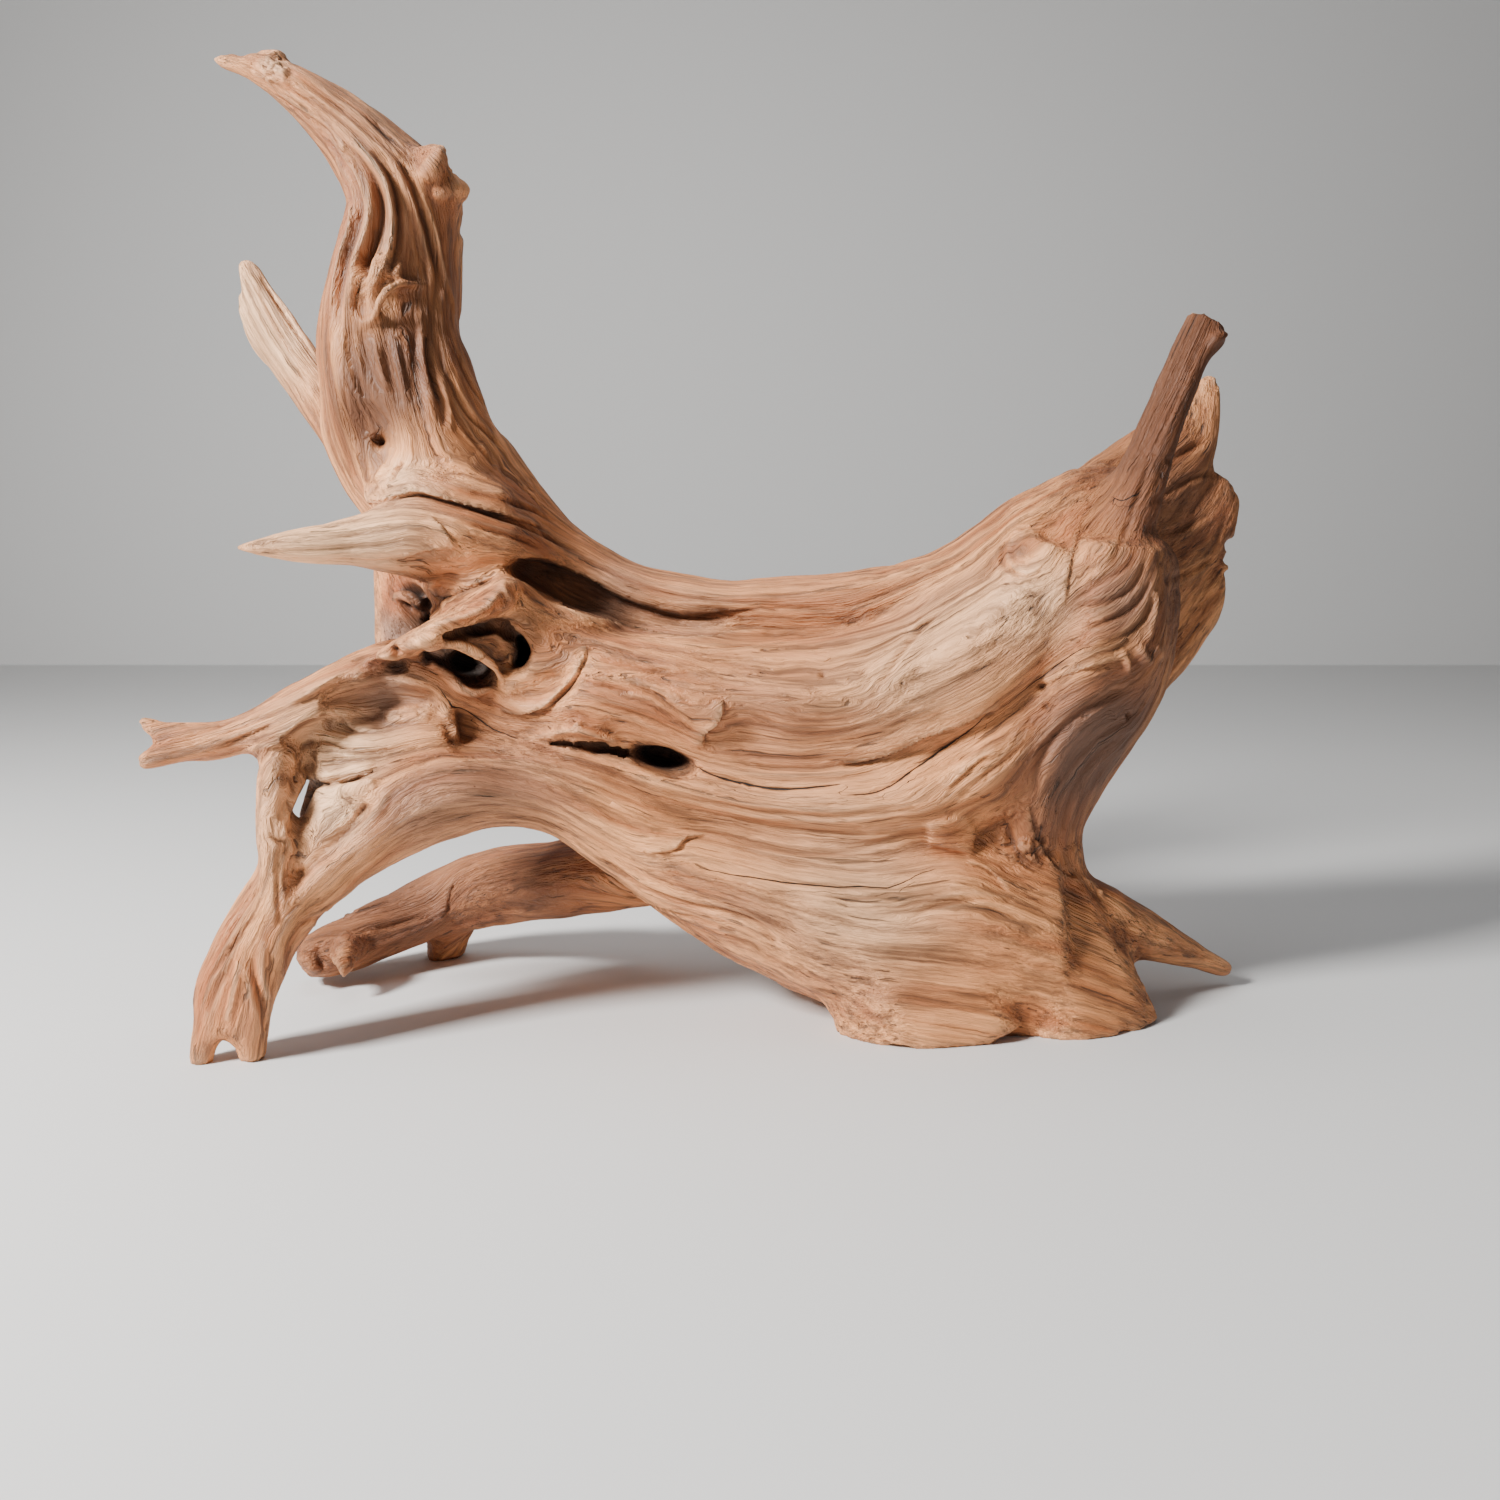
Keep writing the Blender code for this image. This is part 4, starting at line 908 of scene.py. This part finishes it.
def grainWays(points, samples):
    # the way of the grain at each point, from the limbs' middle lines and the carved lines
    places, ways, reaches, strengths, sureness = [], [], [], [], []
    for reach, line in grainLines.values():
        middle = smoothLine(line, grainPull["middleStep"])
        places.append(middle)
        ways.append(unit(np.gradient(middle, axis=0)))
        reaches.append(np.full(len(middle), reach))
        strengths.append(np.full(len(middle), 1.0))
        sureness.append(np.full(len(middle), 1.0))
    for _, _, _, spots, way, _, _ in samples.values():
        spots, way = spots[::grainPull["everyPlace"]], way[::grainPull["everyPlace"]]
        places.append(spots)
        ways.append(way)
        reaches.append(np.full(len(spots), grainPull["lineReach"]))
        strengths.append(np.full(len(spots), grainPull["lineStrength"]))
        sureness.append(np.full(len(spots), 0.0))
    places, ways = np.concatenate(places), np.concatenate(ways)
    reaches, strengths = np.concatenate(reaches), np.concatenate(strengths)
    flows = ways * np.concatenate(sureness)[:, None]
    crossed = np.einsum("ij,ik->ijk", ways, ways).reshape(-1, 9)
    grain = np.empty_like(points)
    for start in range(0, len(points), grainPull["batch"]):
        part = points[start:start + grainPull["batch"]]
        far = (part ** 2).sum(1)[:, None] + (places ** 2).sum(1)[None] - 2 * part @ places.T
        weight = strengths * np.exp(-far / reaches ** 2) + grainPull["farPull"] / (far + grainPull["nearest"])
        _, axes = np.linalg.eigh((weight @ crossed).reshape(-1, 3, 3))
        main = axes[:, :, 2]
        side = np.einsum("ij,ij->i", main, weight @ flows)
        grain[start:start + grainPull["batch"]] = main * np.where(side < 0, -1.0, 1.0)[:, None]
    return grain


def grainCoordinates(points, edges, grain):
    # three numbers for each point: two across the grain and one along it. They grow at the right
    # rate over every edge and, above all, between points that the grain joins.
    depth = unit(np.array([0.0, 1.0, 0.0]) - grain * grain[:, 1:2])
    across = np.cross(grain, depth)
    tree = KDTree(len(points))
    for index, place in enumerate(points):
        tree.insert(place, index)
    tree.balance()
    ahead = points + grain * wood["grainStep"]
    joined = np.array([tree.find(place)[1] for place in ahead])
    own = np.arange(len(points))
    apart = joined != own
    first = np.concatenate([edges[:, 0], own[apart]])
    second = np.concatenate([edges[:, 1], joined[apart]])
    weight = np.concatenate([np.full(len(edges), wood["edgeWeight"]),
                             np.full(int(apart.sum()), wood["joinWeight"])])
    step = points[second] - points[first]
    count = len(points)
    columns = []
    for axis in (across, depth, grain):
        rise = weight * np.einsum("ij,ij->i", 0.5 * (axis[first] + axis[second]), step)
        target = np.bincount(second, rise, count) - np.bincount(first, rise, count)
        start = np.einsum("ij,ij->i", points, axis)
        columns.append(solveSteps(start, target, first, second, weight))
    return np.stack(columns, axis=1)


def solveSteps(value, target, first, second, weight):
    count = len(value)
    degree = np.bincount(first, weight, count) + np.bincount(second, weight, count)

    def laplace(x):
        gap = weight * (x[second] - x[first])
        return np.bincount(second, gap, count) - np.bincount(first, gap, count)

    rest = target - laplace(value)
    ready = rest / degree
    way = ready.copy()
    size = rest @ ready
    for _ in range(wood["solverRounds"]):
        pushed = laplace(way)
        share = size / (way @ pushed + 1e-20)
        value = value + share * way
        rest = rest - share * pushed
        ready = rest / degree
        newSize = rest @ ready
        way = ready + newSize / size * way
        size = newSize
    return value


def carryOver(obj, coordinates, places):
    # the coordinates of the rounded skin, read at the nearest place of it, and how far that place is
    mesh = obj.data
    mesh.calc_loop_triangles()
    corners = np.empty(len(mesh.loop_triangles) * 3, dtype=np.int64)
    mesh.loop_triangles.foreach_get("vertices", corners)
    corners = corners.reshape(-1, 3)
    points = meshPoints(mesh)
    tree = BVHTree.FromPolygons([Vector(point) for point in points], corners.tolist(), epsilon=0.0)
    found = np.empty((len(places), 3))
    index = np.empty(len(places), dtype=np.int64)
    away = np.empty(len(places))
    for row, place in enumerate(places):
        nearest, _, face, distance = tree.find_nearest(place)
        found[row] = nearest
        index[row] = face
        away[row] = distance
    a, b, c = (points[corners[index, k]] for k in range(3))
    toB, toC, toPlace = b - a, c - a, found - a
    bb = np.einsum("ij,ij->i", toB, toB)
    bc = np.einsum("ij,ij->i", toB, toC)
    cc = np.einsum("ij,ij->i", toC, toC)
    pb = np.einsum("ij,ij->i", toPlace, toB)
    pc = np.einsum("ij,ij->i", toPlace, toC)
    scale = bb * cc - bc * bc + 1e-20
    shareB = ((cc * pb - bc * pc) / scale).clip(0, 1)[:, None]
    shareC = ((bb * pc - bc * pb) / scale).clip(0, 1)[:, None]
    values = [coordinates[corners[index, k]] for k in range(3)]
    return values[0] * (1 - shareB - shareC) + values[1] * shareB + values[2] * shareC, away


def fluteHeights(coordinates, settings):
    heights = np.zeros(len(coordinates))
    for index, (across, along, height) in enumerate(settings["flutes"]):
        scaled = coordinates / np.array([across, across, along]) + 7.3 * index
        wave = np.array([noise.noise(Vector(place)) for place in scaled])
        heights += height * (np.sqrt(np.abs(wave) + 0.01) * 1.8 - 1.0)
    for index, (across, along, height) in enumerate(settings["ripples"]):
        scaled = coordinates / np.array([across, across, along]) + 3.1 * index
        heights += height * np.array([noise.noise(Vector(place)) for place in scaled])
    return heights


def toneValues(points, tree):
    total = np.zeros((len(points), 3))
    for spot, radius, tone in tones.values():
        hit = frontHits(tree, [spot])
        if not len(hit):
            print("no wood at the tone", spot)
            continue
        distance = np.linalg.norm(points - hit[0, :3], axis=1) * 1000
        total += np.exp(-(distance / radius) ** 2)[:, None] * np.array(tone)
    return np.clip(total, -1, 1)


def openness(obj, rays, reach):
    # share of the sky that each point sees within reach
    mesh = obj.data
    points = meshPoints(mesh)
    normals = meshNormals(mesh)
    tree = treeOf(obj)
    random = np.random.default_rng(wood["seed"])
    ways = unit(random.normal(size=(len(points), rays, 3)))
    ways = unit(ways + normals[:, None, :] * wood["skySpread"])
    starts = points + normals * wood["skyStart"]
    seen = np.zeros(len(points))
    for row in range(len(points)):
        start = Vector(starts[row])
        for way in ways[row]:
            if tree.ray_cast(start, Vector(way), reach)[0] is None:
                seen[row] += 1
    return spread(meshEdges(mesh), seen / rays, 3)


def setAttribute(mesh, name, values):
    kind = "FLOAT_VECTOR" if values.ndim == 2 else "FLOAT"
    attribute = mesh.attributes.new(name, kind, "POINT")
    attribute.data.foreach_set("vector" if values.ndim == 2 else "value", values.astype(np.float32).ravel())


def insideBox(points):
    low, high = (np.array(corner) for corner in cadBox)
    points = np.clip(points, low, high)
    points[points[:, 2] < wood["floorBand"], 2] = 0
    return points


def makeWood():
    obj = roundedSkin(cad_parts["driftwood"], wood)
    tree = treeOf(obj)
    samples = carvedSamples(tree, frontLines, frontHits, wood["lineStep"])
    backSamples = carvedSamples(tree, backLines, backHits, wood["backLineStep"])
    samples.update(backSamples)
    basePoints = meshPoints(obj.data)
    grain = grainWays(basePoints, samples)
    baseCoordinates = grainCoordinates(basePoints, meshEdges(obj.data), grain)
    print("grain found at", len(basePoints), "points")
    base = obj.copy()
    base.data = obj.data.copy()
    buildUpAndCut(obj, tree, wood)
    mesh = obj.data
    points, edges, normals = meshPoints(mesh), meshEdges(mesh), meshNormals(mesh)
    print("fine skin:", len(points), "points")
    coordinates, away = carryOver(base, baseCoordinates, points)
    hold = np.clip(2 - away / wood["carvedWithin"], 0, 1)
    bpy.data.objects.remove(base)
    softNormals = unit(spread(edges, normals, wood["softRounds"]))
    flutes = fluteHeights(coordinates, wood)
    move, crack, crackWidth = carve(points, softNormals, samples)
    move += dentMoves(points, softNormals, tree, frontDents, frontHits)
    move += dentMoves(points, softNormals, tree, backDents, backHits)
    move *= hold[:, None]
    move += roughMoves(points, softNormals, tree)
    least = wood["builtUpFlutes"]
    move += softNormals * (flutes * (least + (1 - least) * hold))[:, None]
    tone = toneValues(points, tree)
    points = points + move
    sawnPlace, sawnWay = np.array(sawnEnd["place"]), unit(np.array(sawnEnd["way"]))
    above = (points - sawnPlace) @ sawnWay
    atEnd = (np.linalg.norm(points - sawnPlace, axis=1) < sawnEnd["reach"]) & (above > -sawnEnd["depth"])
    points[atEnd] -= sawnWay * above[atEnd][:, None]
    mesh.vertices.foreach_set("co", insideBox(points).ravel())
    mesh.update()
    print("carved", len(samples), "lines")
    # hollows and ridges of the carved skin; the finish paints shade in the hollows and highlight on the
    # ridges
    cavity = np.zeros(len(points))
    newNormals = meshNormals(mesh)
    for rounds, share in wood["folds"]:
        mean = spread(edges, points, rounds)
        cavity += share * np.einsum("ij,ij->i", mean - points, newNormals)
    setAttribute(mesh, "grain", coordinates)
    setAttribute(mesh, "cavity", cavity)
    setAttribute(mesh, "crack", crack)
    setAttribute(mesh, "crackWidth", crackWidth)
    setAttribute(mesh, "tone", tone)
    setAttribute(mesh, "sawn", atEnd.astype(float))
    thin = obj.modifiers.new("thin", "DECIMATE")
    thin.ratio = wood["triangles"] / (2 * len(mesh.polygons))
    thin.use_collapse_triangulate = True
    bakeModifiers(obj)
    mesh = obj.data
    mesh.vertices.foreach_set("co", insideBox(meshPoints(mesh)).ravel())
    mesh.update()
    # how much sky each point sees; the finish paints shade from it
    setAttribute(mesh, "open", openness(obj, wood["skyRays"], wood["skyReach"]))
    for face in mesh.polygons:
        face.use_smooth = True
    print("wood done:", len(mesh.polygons), "triangles")
    return obj


# Finish of the wood: lines along the grain, tones from place to place, painted shade in hollows and folds,
# painted highlight on ridges, and dark cracks.

woodFinish = {
    "cream": (0.96, 0.41, 0.16, 1),
    "tan": (0.50, 0.17, 0.055, 1),
    # brown is also the painted shade in folds and on places that see little sky
    "brown": (0.11, 0.037, 0.012, 1),
    "red": (0.46, 0.125, 0.038, 1),
    "grey": (0.26, 0.19, 0.15, 1),
    # pale wood of the pale places, and also the painted highlight on ridges
    "bleachedAndHighlight": (1.0, 0.62, 0.35, 1),
    # dark is also the painted shade of the deepest hollows
    "dark": (0.015, 0.008, 0.005, 1),
    "sawn": (0.66, 0.58, 0.48, 1),
    "roughness": 0.6,
    "patterns": {           # lines across and along the grain for each metre, detail, and contrast
        "patches": (16, 5, 3, 0.42, 0.62),
        "bands": (60, 3, 3, 0.42, 0.60),
        "streaks": (200, 5, 4, 0.45, 0.66),
        "fibres": (700, 22, 3, 0.35, 0.68),
        "checks": (330, 7, 2, 0.64, 0.70),
    },
    "redPatches": 0.35,
    "brownStreaks": 0.76,
    "darkChecks": 0.7,
    "fibreLight": (1.1, 0.86),
    # From one value to another of what steers it, the colour's share goes from one number to another.
    "redTone": (0.0, 1.0, 0.0, 0.85),
    "paleTone": (0.0, 1.0, 0.0, 0.8),
    "brownTone": (0.0, -1.0, 0.0, 0.9),
    "greyTone": (0.0, 1.0, 0.0, 0.85),
    # painted highlight: convex ridges turn pale, less so where the tone is dark
    "paintedHighlightOnRidges": (0.0, -0.8, 0.0, 0.45),
    "ridgeHighlightByTone": (-0.9, 0.0, 0.0, 1.0),
    # painted shade: concave folds turn brown
    "paintedShadeInFolds": (0.0, 0.6, 0.0, 0.9),
    # painted shade: places that see little sky turn brown, and the most closed ones go near black
    "brownShade": (0.80, 0.45, 0.0, 0.65),
    "shadeByTone": (0.3, 1.0, 1.0, 0.25),
    "paintedShadeInHollows": (0.55, 0.12, 0.0, 0.97),
    "crackEdge": 0.35,
    "bumpShares": {"streaks": -1.2, "checks": -1.5, "cracks": -3.0},
    "bumpStrength": 0.8,
    "bumpDistance": 0.0012,
}


def grainGroup():
    # long wavy lines from the grain's own coordinates
    group = bpy.data.node_groups.new("grainLines", "ShaderNodeTree")
    face = group.interface
    face.new_socket("Grain", in_out="INPUT", socket_type="NodeSocketVector")
    for name in ("Across", "Along", "Detail", "From", "To"):
        face.new_socket(name, in_out="INPUT", socket_type="NodeSocketFloat")
    face.new_socket("Lines", in_out="OUTPUT", socket_type="NodeSocketFloat")
    nodes, links = group.nodes, group.links
    given = nodes.new("NodeGroupInput")
    out = nodes.new("NodeGroupOutput")
    join = nodes.new("ShaderNodeCombineXYZ")
    links.new(given.outputs["Across"], join.inputs[0])
    links.new(given.outputs["Across"], join.inputs[1])
    links.new(given.outputs["Along"], join.inputs[2])
    scale = nodes.new("ShaderNodeVectorMath")
    scale.operation = "MULTIPLY"
    links.new(given.outputs["Grain"], scale.inputs[0])
    links.new(join.outputs[0], scale.inputs[1])
    pattern = nodes.new("ShaderNodeTexNoise")
    pattern.inputs["Scale"].default_value = 1.0
    pattern.inputs["Roughness"].default_value = 0.6
    pattern.inputs["Distortion"].default_value = 0.15
    links.new(scale.outputs[0], pattern.inputs["Vector"])
    links.new(given.outputs["Detail"], pattern.inputs["Detail"])
    clear = nodes.new("ShaderNodeMapRange")
    links.new(pattern.outputs["Fac"], clear.inputs["Value"])
    links.new(given.outputs["From"], clear.inputs["From Min"])
    links.new(given.outputs["To"], clear.inputs["From Max"])
    links.new(clear.outputs["Result"], out.inputs["Lines"])
    return group


class NodeKit:
    # short ways to add the nodes that the finish uses
    def __init__(self, material):
        material.use_nodes = True
        self.nodes = material.node_tree.nodes
        self.links = material.node_tree.links
        self.surface = self.nodes["Principled BSDF"]

    def join(self, value, socket):
        if hasattr(value, "is_linked"):
            self.links.new(value, socket)
        else:
            socket.default_value = value

    def attribute(self, name, output="Fac"):
        node = self.nodes.new("ShaderNodeAttribute")
        node.attribute_name = name
        return node.outputs[output]

    def range(self, value, low, high, toLow, toHigh):
        node = self.nodes.new("ShaderNodeMapRange")
        for name, number in (("From Min", low), ("From Max", high), ("To Min", toLow), ("To Max", toHigh)):
            self.join(number, node.inputs[name])
        self.join(value, node.inputs["Value"])
        return node.outputs["Result"]

    def mix(self, factor, first, second):
        node = self.nodes.new("ShaderNodeMix")
        node.data_type = "RGBA"
        for index, value in ((0, factor), (6, first), (7, second)):
            self.join(value, node.inputs[index])
        return node.outputs[2]

    def math(self, operation, first, second=0.0, third=0.0):
        node = self.nodes.new("ShaderNodeMath")
        node.operation = operation
        for index, value in enumerate((first, second, third)):
            self.join(value, node.inputs[index])
        return node.outputs[0]


def makeWoodFinish(settings):
    material = bpy.data.materials.new("weatheredWood")
    kit = NodeKit(material)
    kit.surface.inputs["Roughness"].default_value = settings["roughness"]
    group = grainGroup()
    grain = kit.attribute("grain", "Vector")
    lines = {}
    for name, numbers in settings["patterns"].items():
        node = kit.nodes.new("ShaderNodeGroup")
        node.node_tree = group
        for socket, number in zip(("Across", "Along", "Detail", "From", "To"), numbers):
            node.inputs[socket].default_value = number
        kit.links.new(grain, node.inputs["Grain"])
        lines[name] = node.outputs["Lines"]
    tone = kit.nodes.new("ShaderNodeSeparateXYZ")
    kit.links.new(kit.attribute("tone", "Vector"), tone.inputs[0])
    pale, red, grey = tone.outputs
    colour = kit.mix(lines["bands"], settings["cream"], settings["tan"])
    colour = kit.mix(kit.math("MULTIPLY", lines["patches"], settings["redPatches"]), colour, settings["red"])
    colour = kit.mix(kit.range(red, *settings["redTone"]), colour, settings["red"])
    colour = kit.mix(kit.range(pale, *settings["paleTone"]), colour, settings["bleachedAndHighlight"])
    colour = kit.mix(kit.range(pale, *settings["brownTone"]), colour, settings["brown"])
    colour = kit.mix(kit.range(grey, *settings["greyTone"]), colour, settings["grey"])
    streaked = kit.math("MULTIPLY", lines["streaks"], settings["brownStreaks"])
    colour = kit.mix(streaked, colour, settings["brown"])
    checked = kit.math("MULTIPLY", lines["checks"], settings["darkChecks"])
    colour = kit.mix(checked, colour, settings["dark"])
    bright = kit.nodes.new("ShaderNodeHueSaturation")
    kit.links.new(kit.range(lines["fibres"], 0.0, 1.0, *settings["fibreLight"]), bright.inputs["Value"])
    kit.links.new(colour, bright.inputs["Color"])
    colour = bright.outputs["Color"]
    # Painted highlight: convex ridges are made paler, except on dark-toned wood.
    cavity = kit.attribute("cavity")
    ridges = kit.math("MULTIPLY", kit.range(cavity, *settings["paintedHighlightOnRidges"]),
                      kit.range(pale, *settings["ridgeHighlightByTone"]))
    colour = kit.mix(ridges, colour, settings["bleachedAndHighlight"])
    # Painted shade: concave folds are browned.
    colour = kit.mix(kit.range(cavity, *settings["paintedShadeInFolds"]), colour, settings["brown"])
    # Painted shade: places that see little sky are browned, and the deepest hollows go near black.
    sky = kit.attribute("open")
    shaded = kit.math("MULTIPLY", kit.range(sky, *settings["brownShade"]),
                      kit.range(pale, *settings["shadeByTone"]))
    colour = kit.mix(shaded, colour, settings["brown"])
    colour = kit.mix(kit.range(sky, *settings["paintedShadeInHollows"]), colour, settings["dark"])
    colour = kit.mix(kit.attribute("sawn"), colour, settings["sawn"])
    crackGap = kit.math("ABSOLUTE", kit.attribute("crack"))
    crackWidth = kit.attribute("crackWidth")
    crackEdge = kit.math("MULTIPLY", crackWidth, settings["crackEdge"])
    inCrack = kit.range(crackGap, crackEdge, kit.math("ADD", crackWidth, 1e-5), 1.0, 0.0)
    colour = kit.mix(inCrack, colour, settings["dark"])
    kit.links.new(colour, kit.surface.inputs["Base Color"])
    shares = settings["bumpShares"]
    height = kit.math("MULTIPLY_ADD", lines["streaks"], shares["streaks"], lines["fibres"])
    height = kit.math("MULTIPLY_ADD", lines["checks"], shares["checks"], height)
    height = kit.math("MULTIPLY_ADD", inCrack, shares["cracks"], height)
    bump = kit.nodes.new("ShaderNodeBump")
    bump.inputs["Strength"].default_value = settings["bumpStrength"]
    bump.inputs["Distance"].default_value = settings["bumpDistance"]
    kit.links.new(height, bump.inputs["Height"])
    kit.links.new(bump.outputs["Normal"], kit.surface.inputs["Normal"])
    return material


woodPiece = makeWood()
woodPiece.data.materials.clear()
woodPiece.data.materials.append(makeWoodFinish(woodFinish))
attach(woodPiece, "root")
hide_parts("driftwood")

# Room: a pale floor that turns up into a wall.

room = {
    "width": 9.0,
    "front": -4.0,
    "wall": 3.0,
    "height": 4.0,
    "bend": 0.004,
    "colour": (0.72, 0.72, 0.72, 1),
    "roughness": 0.7,
}


def makeRoom(settings):
    mesh = bpy.data.meshes.new("room")
    sweep = bmesh.new()
    half = settings["width"] / 2
    wall, bend = settings["wall"], settings["bend"]
    profile = [(settings["front"], 0), (wall - bend, 0), (wall, bend), (wall, settings["height"])]
    verts = [sweep.verts.new((-half, y, z)) for y, z in profile]
    edges = [sweep.edges.new(pair) for pair in zip(verts, verts[1:])]
    grown = bmesh.ops.extrude_edge_only(sweep, edges=edges)
    moved = [item for item in grown["geom"] if isinstance(item, bmesh.types.BMVert)]
    bmesh.ops.translate(sweep, verts=moved, vec=(settings["width"], 0, 0))
    bmesh.ops.recalc_face_normals(sweep, faces=sweep.faces)
    sweep.to_mesh(mesh)
    sweep.free()
    obj = bpy.data.objects.new("room", mesh)
    bpy.context.scene.collection.objects.link(obj)
    kit = NodeKit(bpy.data.materials.new("paleFloor"))
    kit.surface.inputs["Base Color"].default_value = settings["colour"]
    kit.surface.inputs["Roughness"].default_value = settings["roughness"]
    mesh.materials.append(bpy.data.materials["paleFloor"])


makeRoom(room)

lights = {
    "key": {"place": (-1.8, -1.2, 1.7), "size": 0.5, "power": 170, "colour": (1.0, 0.98, 0.95)},
    "fill": {"place": (1.8, -1.8, 1.2), "size": 1.8, "power": 3, "colour": (0.97, 0.98, 1.0)},
    "top": {"place": (-0.2, 0.3, 2.4), "size": 1.6, "power": 20, "colour": (1.0, 1.0, 1.0)},
}
lightAim = (0, 0, 0.3)
worldLight = {"colour": (0.8, 0.82, 0.85, 1), "strength": 0.07}


def addLights(settings):
    for name, light in settings.items():
        data = bpy.data.lights.new(name, "AREA")
        data.size = light["size"]
        data.energy = light["power"]
        data.color = light["colour"]
        obj = bpy.data.objects.new(name, data)
        obj.location = light["place"]
        aim = Vector(lightAim) - Vector(light["place"])
        obj.rotation_euler = aim.to_track_quat("-Z", "Y").to_euler()
        bpy.context.scene.collection.objects.link(obj)
    world = bpy.data.worlds.new("world")
    bpy.context.scene.world = world
    world.use_nodes = True
    background = world.node_tree.nodes["Background"]
    background.inputs["Color"].default_value = worldLight["colour"]
    background.inputs["Strength"].default_value = worldLight["strength"]


addLights(lights)
print("stage done")

bpy.context.view_layer.update()
